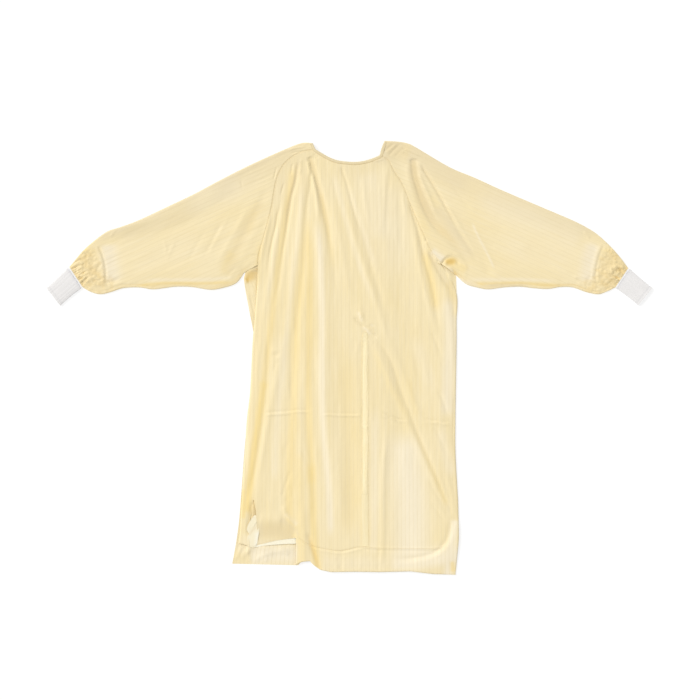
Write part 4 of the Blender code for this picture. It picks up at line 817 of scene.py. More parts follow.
def knitted(name):
    """White rib knit: columns of loops along the cuff."""
    g = Graph(name)
    u, v, _ = g.split(g.attribute("cloth"))
    rib = g.math("SINE", g.math("MULTIPLY", u, 2 * math.pi / 0.0031))
    zig = g.math("MULTIPLY", g.math("PINGPONG", g.math("MULTIPLY", u, 1.0), 0.000775), 0.9)
    loops = g.math("SINE", g.math("MULTIPLY", g.math("ADD", v, zig), 2 * math.pi / 0.0016))
    tone = g.noise(g.join(g.math("MULTIPLY", u, 90.0), g.math("MULTIPLY", v, 30.0)), 1.0, 3.0)
    colour = g.mix(g.ramp(tone, 0.3, 0.7), (0.872, 0.856, 0.846), (0.838, 0.824, 0.816))
    colour = g.mix(g.ramp(rib, -1.0, 0.3, 0.12, 0.0), colour, (0.72, 0.72, 0.74))
    colour = g.mix(g.ramp(loops, -1.0, 0.2, 0.10, 0.0), colour, (0.72, 0.72, 0.74))
    # painted shade from the attribute
    painted_shade = g.attribute("painted_shade", "Fac")
    colour = g.mix(painted_shade, colour, (0.60, 0.60, 0.64))
    g.link(colour, g.shader.inputs["Base Color"])
    g.link(g.ramp(loops, -1.0, 1.0, 0.92, 0.78), g.shader.inputs["Roughness"])
    fuzz = g.noise(g.join(g.math("MULTIPLY", u, 2600.0), g.math("MULTIPLY", v, 2600.0)), 1.0, 2.0)
    bumped = g.bump(loops, 0.35, 0.0002)
    bumped = g.bump(fuzz, 0.15, 0.00015, bumped)
    g.link(bumped, g.shader.inputs["Normal"])
    g.shader.inputs["Specular IOR Level"].default_value = 0.2
    g.shader.inputs["Sheen Weight"].default_value = 0.25
    g.shader.inputs["Sheen Roughness"].default_value = 0.5
    return g.mat


def taped(name, light, shade, thread_and_painted_shade_colour):
    """Narrow woven tape, herringbone across and a firm edge."""
    g = Graph(name)
    u, v, _ = g.split(g.attribute("cloth"))
    half = g.math("PINGPONG", u, 0.0021)
    twill = g.math("SINE", g.math("MULTIPLY", g.math("ADD", v, half), 2 * math.pi / 0.0011))
    tone = g.noise(g.join(g.math("MULTIPLY", u, 300.0), g.math("MULTIPLY", v, 22.0)), 1.0, 2.0)
    colour = g.mix(g.ramp(tone, 0.35, 0.65), light, shade)
    colour = g.mix(g.ramp(twill, -1.0, 0.4, 0.16, 0.0), colour, thread_and_painted_shade_colour)
    s, run, _ = g.split(g.attribute("stitch"))
    row = g.ramp(g.math("ABSOLUTE", g.math("SUBTRACT", s, 0.0012)), 0.00018, 0.0004, 1.0, 0.0)
    dash = g.ramp(g.math("SINE", g.math("MULTIPLY", run, 2 * math.pi / 0.0025)), -0.5, 0.0)
    colour = g.mix(g.math("MULTIPLY", row, 0.30), colour, thread_and_painted_shade_colour)
    # painted shade from the attribute, and paler painted light from its second channel
    painted_shade = g.attribute("painted_shade", "Fac")
    colour = g.mix(painted_shade, colour, thread_and_painted_shade_colour)
    colour = g.mix(g.split(g.attribute("painted_light"))[1], colour, (0.985, 0.935, 0.760))
    g.link(colour, g.shader.inputs["Base Color"])
    g.link(g.ramp(tone, 0.3, 0.7, 0.50, 0.62), g.shader.inputs["Roughness"])
    bumped = g.bump(twill, 0.4, 0.00012)
    bumped = g.bump(g.math("MULTIPLY", row, dash), 0.5, 0.0002, bumped)
    g.link(bumped, g.shader.inputs["Normal"])
    g.shader.inputs["Specular IOR Level"].default_value = 0.3
    g.shader.inputs["Sheen Weight"].default_value = 0.15
    return g.mat


gown_cloth = woven("gown_cloth_woven", CLOTH_LIGHT, CLOTH_SHADE, CLOTH_THREAD_AND_PAINTED_SHADE, CLOTH_STRIPE, 0.60)
sleeve_cloth = woven("sleeve_cloth_woven", CLOTH_LIGHT, CLOTH_SHADE, CLOTH_THREAD_AND_PAINTED_SHADE, CLOTH_STRIPE, 0.54)
tape_cloth = taped("tie_tape_woven", (0.972, 0.856, 0.560), (0.950, 0.824, 0.505), (0.80, 0.58, 0.25))
binding_cloth = taped("neck_binding_woven", (0.835, 0.715, 0.460), (0.805, 0.680, 0.410), (0.66, 0.48, 0.22))
cuff_knit = knitted("cuff_knit_ribbed")


def seam_attribute(pts_cm, lines):
    """Distance inside the nearest sewn line and the run along it, in metres."""
    a, d = to_units(pts_cm[..., 0].ravel(), pts_cm[..., 1].ravel())
    best = np.full(a.shape, 0.02)
    run_at = np.zeros(a.shape)
    for sign, line in lines:
        sel, gap, share, run = near_line(a, d, line, 7.0, 8)
        g = gap * sign * UNIT_CM * CM
        closer = np.abs(g) < np.abs(best[sel])
        best[sel] = np.where(closer, g, best[sel])
        run_at[sel] = np.where(closer, run * UNIT_CM * CM, run_at[sel])
    return np.stack([best, run_at], 1).reshape(*pts_cm.shape[:-1], 2)


def lift(points, z):
    return np.concatenate([np.asarray(points) * CM, np.asarray(z)[..., None]], -1)


# ---------------------------------------------------------------- front panel
def front_row(number, shares):
    if number == 0:
        return along(NECKLINE, shares)
    if number in (ROW_HEM_SEAM, ROW_HEM):
        table = HEM_SEAM if number == ROW_HEM_SEAM else HEM
        lx, rx = table[0][0], table[-1][0]
    else:
        lx, ly, rx, ry, dip = FRONT_ROWS[number - 1]
    a, b, c = LIPS.get(number, tuple(lx + (rx - lx) * s
                                     for s in (SHARE_LEFT_LIP, SHARE_RIGHT_LIP, SHARE_CORNER)))
    x = np.interp(shares, [0, SHARE_LEFT_LIP, SHARE_RIGHT_LIP, SHARE_CORNER, 1], [lx, a, b, c, rx])
    if number in (ROW_HEM_SEAM, ROW_HEM):
        y = height_at(table, x)
    else:
        y = ly + (ry - ly) * shares - dip * 4 * shares * (1 - shares)
    return np.stack([x, y], 1)


def front_points(row_numbers, shares):
    net = np.array([front_row(n, shares) for n in range(ROW_HEM + 1)])
    return smooth_rows(net, row_numbers)


def spread(stops, counts):
    """Numbers from stop to stop, evenly spaced within each stretch."""
    out = [np.linspace(a, b, n + 1)[:-1] for a, b, n in zip(stops[:-1], stops[1:], counts)]
    return np.concatenate(out + [[stops[-1]]])


columns = spread([0, 0.012, SHARE_LEFT_LIP, SHARE_RIGHT_LIP, SHARE_CORNER, 0.985, 1.0],
                 [5, 10, 2, 26, 90, 5])
levels = spread([0, 1, 4, SEAM_ROWS, 9, 12, 13, 14, 16, 17, 18, 18.8, 19.2, 20],
                [12, 34, 60, 22, 66, 28, 20, 32, 10, 12, 8, 10, 18])
plan = front_points(levels, columns)
n_rows, n_cols = plan.shape[:2]
height, painted_shade = upper(plan[..., 0], plan[..., 1], "body")
level_grid = np.repeat(levels[:, None], n_cols, 1)
column_grid = np.repeat(columns[None, :], n_rows, 0)

# the cloth lies lower towards the hem and the sides
a_grid, d_grid = to_units(plan[..., 0], plan[..., 1])
height = 0.0030 + (height - 0.0030) * (1 - 0.42 * ease((d_grid - 478) / 92))
side_low = np.minimum(plan[..., 0] - plan[:, :1, 0], plan[:, -1:, 0] - plan[..., 0])
height = 0.0030 + (height - 0.0030) * (1 - 0.46 * (1 - ease(side_low / 4.5)) * ease((level_grid - SEAM_ROWS - 0.3) / 1.5))

# side folds turn down to the back panels
inward_left = plan[..., 0] - plan[:, :1, 0]
inward_right = plan[:, -1:, 0] - plan[..., 0]
turned = ease((level_grid - SEAM_ROWS - 0.3) / 0.9)
for inward, radius in ((inward_left, 0.6), (inward_right, 0.42 + 0.5 * np.exp(-((d_grid - 276) / 15) ** 2))):
    t = np.clip(inward / radius, 0, 1)
    rolled = 0.0021 + (height - 0.0021) * np.sqrt(np.clip(1 - (1 - t) ** 2.2, 0, 1))
    height = height + (rolled - height) * turned

# at the underarm the edge lies close to the back
sel, gap, share, run = near_line(a_grid.ravel(), d_grid.ravel(), [(438, 259), (445, 271), (451, 281), (456, 291), (457, 300)], 12.0, 6)
settle = np.zeros(a_grid.size)
settle[sel] = 0.62 * np.exp(-(gap / 5.0) ** 2) * fades(share, .1, .25)
height = height - (height - 0.0030) * settle.reshape(height.shape)

# the hem is turned up: doubled cloth below its seam, puckered along the stitches
hem_line = [tuple(p) for p in np.stack(to_units(*np.array(HEM_SEAM).T), 1)]
sel, gap, share, run = near_line(a_grid.ravel(), d_grid.ravel(), hem_line, 14.0, 8)
below = -gap            # the line runs to the right, so the hem is on its far side
ridge = np.zeros(a_grid.size)
pucker = lattice(run / 2.3, np.zeros(run.shape) + 0.5, 31)
over = ease((a_grid.ravel()[sel] - 357) / 9)
ridge[sel] = (0.35 * ease((below + 0.3) / 0.8) - 1.55 * (1 - over) * np.exp(-((below + 0.1) / 0.85) ** 2)
              + 0.85 * (1 - over) * np.exp(-((below - 1.9) / 1.0) ** 2)
              + over * (1.15 * np.exp(-((below + 0.8) / 1.0) ** 2) - 0.90 * np.exp(-((below - 1.6) / 1.1) ** 2))
              + 0.30 * pucker * np.exp(-(below / 2.2) ** 2)) / 1000
right_of_corner = ease((plan[..., 0] + 13.4) / 1.2) * (1 - ease((a_grid - 438) / 8))
height = height + ridge.reshape(height.shape) * right_of_corner

# the turned-under corner at the lower left: the cloth falls to the ties there
corner_zone = ease((plan[..., 0] + 25.5) / 1.6) * ease((-13.9 - plan[..., 0]) / 0.9)
fall = ease((d_grid - 519) / 20) * corner_zone
height = height + (0.0040 - height) * fall
# lips of the slit stand a little open
lip_gap = np.minimum(np.abs(column_grid - SHARE_LEFT_LIP), np.abs(column_grid - SHARE_RIGHT_LIP))
lip = ease(1 - lip_gap / 0.022) * ease((level_grid - ROW_SLIT + 0.5) / 1.2)
height = height + 0.0010 * lip * (1 - fall) * ease((column_grid - SHARE_LEFT_LIP) / 0.004)
# the cloth left of it turns down into the slit
into = ease(1 - (SHARE_LEFT_LIP - column_grid) / 0.026) * (column_grid <= SHARE_LEFT_LIP + 1e-6)
height = height - 0.0026 * into * ease((d_grid - 499) / 8) * (1 - ease((d_grid - 528) / 12))
# curled hem band at the lower right corner
curl_line = [(455, 517), (455, 530), (452, 541), (446.5, 549), (438.5, 556), (426, 561), (406, 564), (388, 563)]
sel, gap, share, run = near_line(a_grid.ravel(), d_grid.ravel(), curl_line, 16.0, 6)
curl = np.zeros(a_grid.size)
curl[sel] = (3.0 * ease((gap + 4.6) / 4.2) * (1 - ease((gap - 5) / 17)) - 1.5 * np.exp(-((gap + 5.6) / 1.6) ** 2)) / 1000 * fades(share, .12, .35)
height = height + curl.reshape(height.shape)

to_edge = (plan[..., 1] - plan[-1:, :, 1]) / 0.20
t = np.clip(to_edge, 0, 1)
rolled = 0.0040 + (height - 0.0040) * np.sqrt(np.clip(1 - (1 - t) ** 2.2, 0, 1))
height = np.where(level_grid > ROW_HEM_SEAM, np.maximum(np.minimum(rolled, height), 0.0030), height)

slit_left = int(np.argmin(np.abs(columns - SHARE_LEFT_LIP)))
slit_right = int(np.argmin(np.abs(columns - SHARE_RIGHT_LIP)))
corner = int(np.argmin(np.abs(columns - SHARE_CORNER)))
slit_row = int(np.argmin(np.abs(levels - ROW_SLIT)))
hem_seam_row = int(np.argmin(np.abs(levels - ROW_HEM_SEAM)))

front_pts = lift(plan, height)
excess = arc_excess(front_pts, 1, n_cols // 2)
cloth_uv = np.stack([plan[..., 0] * CM + excess * 0.7, plan[..., 1] * CM], -1)
stitch = seam_attribute(plan, [(1, SEAMS[0]), (-1, SEAMS[1]), (1, hem_line)])
curled = (a_grid > 441) & (d_grid > 530)
stitch[curled, 0] = 0.02
# the front carries its painted shade and painted light as attributes
front = shell("front_panel_cloth", front_pts, gown_cloth, THIN,
              drop=lambda r, c: ((c >= slit_left) & (c < slit_right) & (r >= slit_row))
              | ((c < corner) & (r >= hem_seam_row)),
              attributes={"cloth": cloth_uv, "painted_shade": painted_shade, "stitch": stitch, "painted_light": painted_light_of(plan)})


# ---------------------------------------------------------------- sleeves
BEND = np.radians([0, 14, 30, 48, 68, 90])
SECTION_COUNTS = [12] * 10 + [8, 8]
UNDER_SECTIONS = 150


def section_numbers():
    return spread(list(range(len(TOP_SHARES))), SECTION_COUNTS)


def back_low_at(end, k):
    return along(end[1:], np.asarray(k) / (len(TOP_SHARES) - 1))


def under_profile(t, step):
    """Height left at a distance (cm) above the under edge: a seam groove and a fall."""
    return (0.34 + 0.22 * ease(t / 0.22) + 0.09 * ease((t - step + 0.12) / 0.24)
            - 0.05 * np.exp(-((t - step + 0.2) / 0.12) ** 2) + 0.35 * ease((t - 0.4) / 5.0))


def gathers(a, d, joint_a, joint_b, inward, seed):
    """Small gathers that run from the cuff's joint into the sleeve's end."""
    rng = np.random.RandomState(seed)
    folds = []
    for i in range(11):
        s = (i + 0.5 + rng.uniform(-.3, .3)) / 11
        start = np.array(joint_a) * (1 - s) + np.array(joint_b) * s
        angle = rng.uniform(-.22, .22) + (s - 0.5) * -0.5
        c, n = math.cos(angle), math.sin(angle)
        way = np.array([inward[0] * c - inward[1] * n, inward[0] * n + inward[1] * c])
        reach = rng.uniform(9, 27)
        bow = rng.uniform(-1.5, 1.5)
        across = np.array([-way[1], way[0]])
        line = [tuple(start - way * 1.0), tuple(start + way * reach * 0.5 + across * bow), tuple(start + way * reach)]
        folds.append((rng.uniform(-1.9, -1.1), rng.uniform(.7, 1.1), rng.uniform(.7, 1.1), .02, .5, line))
        line2 = [tuple(np.array(p) + across * 1.3) for p in line]
        folds.append((rng.uniform(0.9, 1.7), .9, .9, .02, .6, line2))
    for i in range(26):
        s, f = rng.uniform(.08, .92), rng.uniform(.12, .92)
        centre = np.array(joint_a) * (1 - s) + np.array(joint_b) * s + np.array(inward) * f * 21
        angle = rng.uniform(-.9, .9) + (s - 0.5) * -1.0
        c, n = math.cos(angle), math.sin(angle)
        way = np.array([inward[0] * c - inward[1] * n, inward[0] * n + inward[1] * c])
        across = np.array([-way[1], way[0]])
        half, bow = rng.uniform(2.5, 5.5), rng.uniform(-1.6, 1.6)
        line = [tuple(centre - way * half), tuple(centre + across * bow), tuple(centre + way * half)]
        folds.append((rng.choice([-1, 1]) * rng.uniform(0.9, 1.9), rng.uniform(.8, 1.5), rng.uniform(.8, 1.5), .3, .3, line))
    return fold_field(a, d, folds)


def sleeve(name, side, top, under, edge, free, back_end, joint):
    sign = 1 if side == "left" else -1
    k = section_numbers()
    seam_end = len(SEAM_LEVELS) - 1
    level = np.interp(np.minimum(k, seam_end), range(len(SEAM_LEVELS)), SEAM_LEVELS)
    low_table = np.array(edge[:SEAM_ROWS + 1])
    seam_part = smooth_rows(low_table, level)
    free_table = np.array([edge[SEAM_ROWS]] + free)
    free_part = smooth_rows(free_table, np.maximum(k - seam_end, 0))
    front_low = np.where((k <= seam_end)[:, None], seam_part, free_part)
    share = smooth_rows(np.array(TOP_SHARES)[:, None], k)[:, 0]
    back_low = back_low_at(back_end, k)
    further = np.linspace(0, 1, UNDER_SECTIONS + 1)[1:]
    under_edge = along(under, further)
    shares = np.concatenate([share, TOP_SHARES[-1] + (1 - TOP_SHARES[-1]) * further])
    fold = along(top, shares)
    front_low = np.concatenate([front_low, under_edge])
    back_low = np.concatenate([back_low, under_edge])
    closed_from = len(k) - 1
    count = len(fold)
    open_share = np.zeros(count)
    open_share[:closed_from] = 1
    tuck = np.zeros(count)
    tuck[:len(k)] = 1 - ease((k - seam_end + 0.35) / 0.6)
    closed = np.zeros(count)
    closed[:len(k)] = ease((k - (seam_end + 0.6)) / 1.4)
    closed[len(k):] = 1

    w_front = np.linalg.norm(fold - front_low, axis=1)
    w_back = np.linalg.norm(fold - back_low, axis=1)
    r_top = np.minimum(0.26, w_front * 0.25)
    r_low = np.minimum(0.28, w_front * 0.2)

    # fine columns for the roll at each end, even ones between
    def stations(width, inner, tucked):
        near = r_low[:, None] * (1 - np.cos(BEND))[None, :]
        flat = np.linspace(-0.42, 0.35, len(BEND))[None, :] * np.ones((count, 1))
        t_low = near * (1 - tucked[:, None]) + flat * tucked[:, None]
        first = t_low[:, -1]
        last = width - r_top
        mid = first[:, None] + (last - first)[:, None] * np.linspace(0, 1, inner + 2)[None, 1:-1]
        t_top = width[:, None] - (r_top[:, None] * (1 - np.cos(BEND))[None, :])[:, ::-1]
        return np.concatenate([t_low, mid, t_top], 1)

    t_front = stations(w_front, 58, tuck)
    t_back = stations(w_back, 30, np.zeros(count))
    xy_f = front_low[:, None] + (fold - front_low)[:, None] * (t_front / w_front[:, None])[..., None]
    xy_b = back_low[:, None] + (fold - back_low)[:, None] * (t_back / w_back[:, None])[..., None]

    z_f, painted_shade_f = upper(xy_f[..., 0], xy_f[..., 1], side)
    # towards the cuff the sleeve comes down and gathers
    a, d = to_units(xy_f[..., 0], xy_f[..., 1])
    jt, jb = np.array(joint[0]), np.array(joint[1])
    ja, jb_u = np.stack(to_units(*jt)), np.stack(to_units(*jb))
    way = np.array([jb_u[1] - ja[1], -(jb_u[0] - ja[0])])
    way = way / np.hypot(*way) * (1 if side == "left" else 1)
    centre = (ja + jb_u) / 2
    if (349.5 - centre[0]) * way[0] < 0:
        way = -way
    out = (a - centre[0]) * way[0] + (d - centre[1]) * way[1]      # units from the joint
    end = 1 - ease((out - 3) / 24)
    z_end = 0.0046 + 0.0042 * ease(out / 16)
    z_f = z_f * (1 - end) + z_end * end
    z_f = z_f + gathers(a.ravel(), d.ravel(), ja, jb_u, way, 41 if side == "left" else 42).reshape(a.shape) * ease(1.2 - out / 23)
    # irregular crumples between the joint and the fold that closes the end
    rough = np.abs(lattice(a / 3.4, d / 2.9, 57)) + 0.5 * np.abs(lattice(a / 1.8, d / 1.7, 58))
    puff = ease((33 - out) / 6)
    z_f = z_f + (rough - 0.55) * 0.0026 * puff
    # the free end by the left underarm lies low on the back panel
    dip = 0.75 * np.exp(-((a - (250 if side == "left" else 452)) / 12) ** 2 - ((d - 273) / 8) ** 2)
    if side == "left":
        z_f = z_f + (0.0036 - z_f) * dip
    z_f = np.maximum(z_f, 0.0026)
    # the roll along the top fold stands up
    from_top = w_front[:, None] - t_front
    swell = 0.0004 * np.exp(-((from_top - 0.9) / 0.8) ** 2) * ease(w_front[:, None] / 6)
    z_f = z_f + swell
    # seam groove and fall along the under edge
    step_at = 1.02 + 0.20 * lattice(a[:, :1] / 17 + 3, d[:, :1] * 0 + 8.5, 53) + 0 * t_front
    edge_fall = under_profile(t_front, step_at)
    puck = lattice(a / 1.5, d * 0 + 1.5, 51)
    puck2 = lattice(a / 3.4 + 9, d * 0 + 4.5, 52)
    z_under = (z_f - 0.0022) * edge_fall + 0.0022 + (0.00045 * puck + 0.0004 * puck2) * np.exp(-((t_front - 0.95) / 0.55) ** 2)
    z_f = z_f + (z_under - z_f) * closed[:, None] * ease((out - 2) / 8)
    # painted shade: a darker, warmer band along the under edge by its seam step, and darker patches towards the
    # gathered end
    along_edge = ease(0.5 + 0.9 * lattice(a[:, :1] / 21 + 3, d[:, :1] * 0 + 2.5, 54))
    painted_shade_band = (0.08 * np.exp(-((t_front - 0.5) / 0.35) ** 2) + (0.12 + 0.30 * along_edge) * np.exp(-((t_front - step_at + 0.2) / 0.17) ** 2)) * closed[:, None] * ease((count - 1 - np.arange(count)) / 10)[:, None]
    painted_shade_f = np.maximum(painted_shade_f, painted_shade_band)
    patches = np.clip(lattice(a / 4.3, d / 3.6, 55 if side == "left" else 56) * 1.4, 0, 1)
    painted_shade_f = np.maximum(painted_shade_f, (0.04 + 0.10 * ease((30 - out) / 10) + 0.20 * patches) * ease((34 - out) / 5))
    z_f = z_f - 0.00105 * tuck[:, None] * (1 - ease((t_front - 0.02) / 0.30))

    # the lower half rests on the surface, with low quiet folds
    ab, db = to_units(xy_b[..., 0], xy_b[..., 1])
    z_b = np.full(ab.shape, THIN / 2 + 0.00004) + back_relief(ab, db, side) * ease((t_back - 0.3) / 2.5) * ease((w_back[:, None] - t_back - 0.3) / 2.5)

    def roll(z, low_side):
        mid_top = (z_f[:, -len(BEND)] + z_b[:, -len(BEND)]) / 2
        s = np.sin(BEND)
        out_z = z.copy()
        for j, value in enumerate(s):
            col = -1 - j
            out_z[:, col] = mid_top + (z[:, col] - mid_top) * value
        mid_low = (z_f[:, len(BEND) - 1] + z_b[:, len(BEND) - 1]) / 2
        for j, value in enumerate(s):
            bent = mid_low + (z[:, j] - mid_low) * value
            out_z[:, j] = out_z[:, j] + (bent - out_z[:, j]) * closed_for[low_side]
        return out_z
    closed_for = {"front": closed, "back": closed}
    zf2, zb2 = roll(z_f, "front"), roll(z_b, "back")
    zb2 = np.maximum(zb2, THIN / 2)

    xy = np.concatenate([xy_f, xy_b[:, -2::-1]], 1)
    z = np.concatenate([zf2, zb2[:, -2::-1]], 1)
    painted_shade_sheet = np.concatenate([painted_shade_f, np.zeros(xy_b.shape[:2])[:, -2::-1]], 1)
    pts = lift(xy, z)
    # stripes run along the sleeve
    r = math.radians(24) * sign
    direction = np.array([math.sin(r) * -1, math.cos(r)])
    across = pts[..., 0] * direction[0] + pts[..., 1] * direction[1]
    lengthwise = pts[..., 0] * direction[1] - pts[..., 1] * direction[0]
    fold_col = xy_f.shape[1] - 1
    extra = arc_excess(pts, 1, fold_col - 20)
    mirror = np.where(np.arange(xy.shape[1]) <= fold_col, 1.0, -1.0)
    top_extra = extra[:, fold_col][:, None]
    signed = np.where(mirror > 0, extra, 2 * top_extra - extra)
    uv = np.stack([across + signed * 0.7, lengthwise], -1)
    lines = [(-1 if side == "left" else 1, SEAMS[0 if side == "left" else 1])]
    st = seam_attribute(xy, lines)
    st[:, xy_f.shape[1]:] = 0.02
    # painted light and shade, weaker on the lower half
    painted_light = painted_light_of(xy)
    painted_light[:, xy_f.shape[1]:] *= 0.25
    ob = shell(name, pts, sleeve_cloth, THIN, wrap_from=closed_from,
               attributes={"cloth": uv, "painted_shade": painted_shade_sheet, "stitch": st, "painted_light": painted_light})
    return ob, (xy_f, zf2)


# folds of the cloth that faces the surface: low, and nowhere below it
BACK_FOLDS = [
    (1.6, 2.2, 3.0, .2, .3, [(300, 170), (290, 230), (282, 300), (276, 380), (272, 460)]),
    (1.3, 3.0, 2.2, .2, .3, [(318, 172), (322, 250), (330, 340), (332, 430), (330, 520)]),
    (1.5, 2.4, 3.2, .2, .3, [(392, 168), (402, 240), (414, 320), (424, 400), (430, 500)]),
    (1.2, 3.0, 2.4, .2, .3, [(372, 190), (366, 280), (362, 380), (364, 470), (370, 555)]),
    (1.4, 2.0, 2.0, .2, .3, [(436, 300), (430, 380), (434, 460), (440, 540)]),
    (1.2, 2.0, 2.6, .3, .3, [(262, 300), (266, 370), (262, 440), (256, 520)]),
    (1.0, 1.4, 1.4, .3, .3, [(296, 420), (310, 470), (318, 540)]),
    (1.0, 1.6, 1.4, .3, .3, [(404, 430), (396, 490), (392, 560)]),
    (0.9, 1.2, 1.2, .3, .3, [(268, 414), (290, 412), (312, 411)]),
    (0.9, 1.2, 1.2, .3, .3, [(384, 418), (412, 421), (446, 424)]),
    (1.6, 2.4, 2.4, .2, .3, [(252, 200), (238, 228), (224, 258)]),
    (1.2, 1.6, 1.6, .3, .3, [(224, 204), (206, 236), (196, 262)]),
    (1.2, 3.0, 3.0, .2, .3, [(120, 255), (160, 245), (200, 228), (236, 206)]),
    (1.0, 1.4, 1.4, .3, .3, [(108, 252), (112, 264), (113, 276)]),
    (1.6, 2.4, 2.4, .2, .3, [(448, 204), (462, 230), (478, 258)]),
    (1.2, 3.0, 3.0, .2, .3, [(482, 205), (520, 232), (560, 250), (590, 262)]),
    (1.1, 1.6, 1.6, .3, .3, [(500, 214), (510, 240), (512, 266)]),
]


def back_relief(a, d, area):
    """Low folds and unevenness of the lower cloth, never below the surface."""
    shape = a.shape
    a, d = a.ravel(), d.ravel()
    if area in ("left", "right"):
        r = math.radians(24 if area == "right" else -24)
        p, q = -a * math.sin(r) + d * math.cos(r), a * math.cos(r) + d * math.sin(r)
    else:
        p, q = a, d
    fine = 0.28 * np.maximum(lattice(p / 5.0, q / 48, 61), 0) + 0.18 * np.maximum(lattice(p / 2.4, q / 22, 62), 0)
    return (fold_field(a, d, BACK_FOLDS) + fine / 1000).reshape(shape)


left_sleeve, left_half = sleeve("sleeve_left_cloth", "left", LEFT_TOP, LEFT_UNDER, left_edge, LEFT_FREE,
                                LEFT_BACK_END, LEFT_CUFF[:2])
right_sleeve, right_half = sleeve("sleeve_right_cloth", "right", RIGHT_TOP, RIGHT_UNDER, right_edge, RIGHT_FREE,
                                  RIGHT_BACK_END, RIGHT_CUFF[:2])


# ---------------------------------------------------------------- cuffs
def cuff(name, corners, joint_depth):
    """A flattened rib-knit tube: 17 ribs a side and a turned end."""
    jt, jb, et, eb = (np.array(c, float) for c in corners)
    lengths = np.linspace(0, 1, 46)
    ribs, per_rib = 21, 6
    around = np.linspace(0, 2 * math.pi, 2 * ribs * per_rib + 1)
    rows = []
    uvs, painted_shades = [], []
    half_height = 0.0037
    for s in lengths:
        top, low = jt + (et - jt) * s, jb + (eb - jb) * s
        centre, half = (top + low) / 2, (top - low) / 2
        waist = 1 - 0.035 * math.sin(math.pi * s) + 0.015 * math.exp(-((s - 1) / .08) ** 2)
        c = np.cos(around)
        sn = np.sin(around)
        across = np.sign(c) * np.abs(c) ** 0.72
        high = np.sign(sn) * np.abs(sn) ** 0.80
        rib = 0.00013 * np.cos(around * ribs)
        hem = 0.00035 * math.exp(-((s - 0.985) / 0.03) ** 2) - 0.00035 * math.exp(-((s - 0.90) / 0.018) ** 2)
        pull = -0.0004 * math.exp(-(s / 0.05) ** 2)
        h = half_height + hem + pull
        xy = centre + half * across[:, None] * waist * (1 - 0.0 * s)
        z = half_height + 0.0006 + high * (h + rib - 0.0003)
        z = np.maximum(z, 0.00045)
        rows.append(lift(xy, z))
        width = np.hypot(*half) * CM
        uvs.append(np.stack([around / (2 * math.pi) * 2 * ribs * 0.0031, np.full(around.shape, s * 0.062)], 1))
        # painted shade at the joint with the sleeve and in the groove by the turned end
        painted_shades.append(np.full(around.shape, 0.35 * math.exp(-(s / 0.06) ** 2) + 0.30 * math.exp(-((s - 0.90) / 0.015) ** 2)))
    pts = np.array(rows)
    return shell(name, pts, cuff_knit, 0.0006, wrap_from=0,
                 attributes={"cloth": np.array(uvs), "painted_shade": np.array(painted_shades)})


left_cuff = cuff("cuff_left_knit", LEFT_CUFF, 0.4)
right_cuff = cuff("cuff_right_knit", RIGHT_CUFF, 0.4)


# ---------------------------------------------------------------- back panels
def lap_height(x):
    return 0.0030 * ease((x + 11.0) / 3.0)


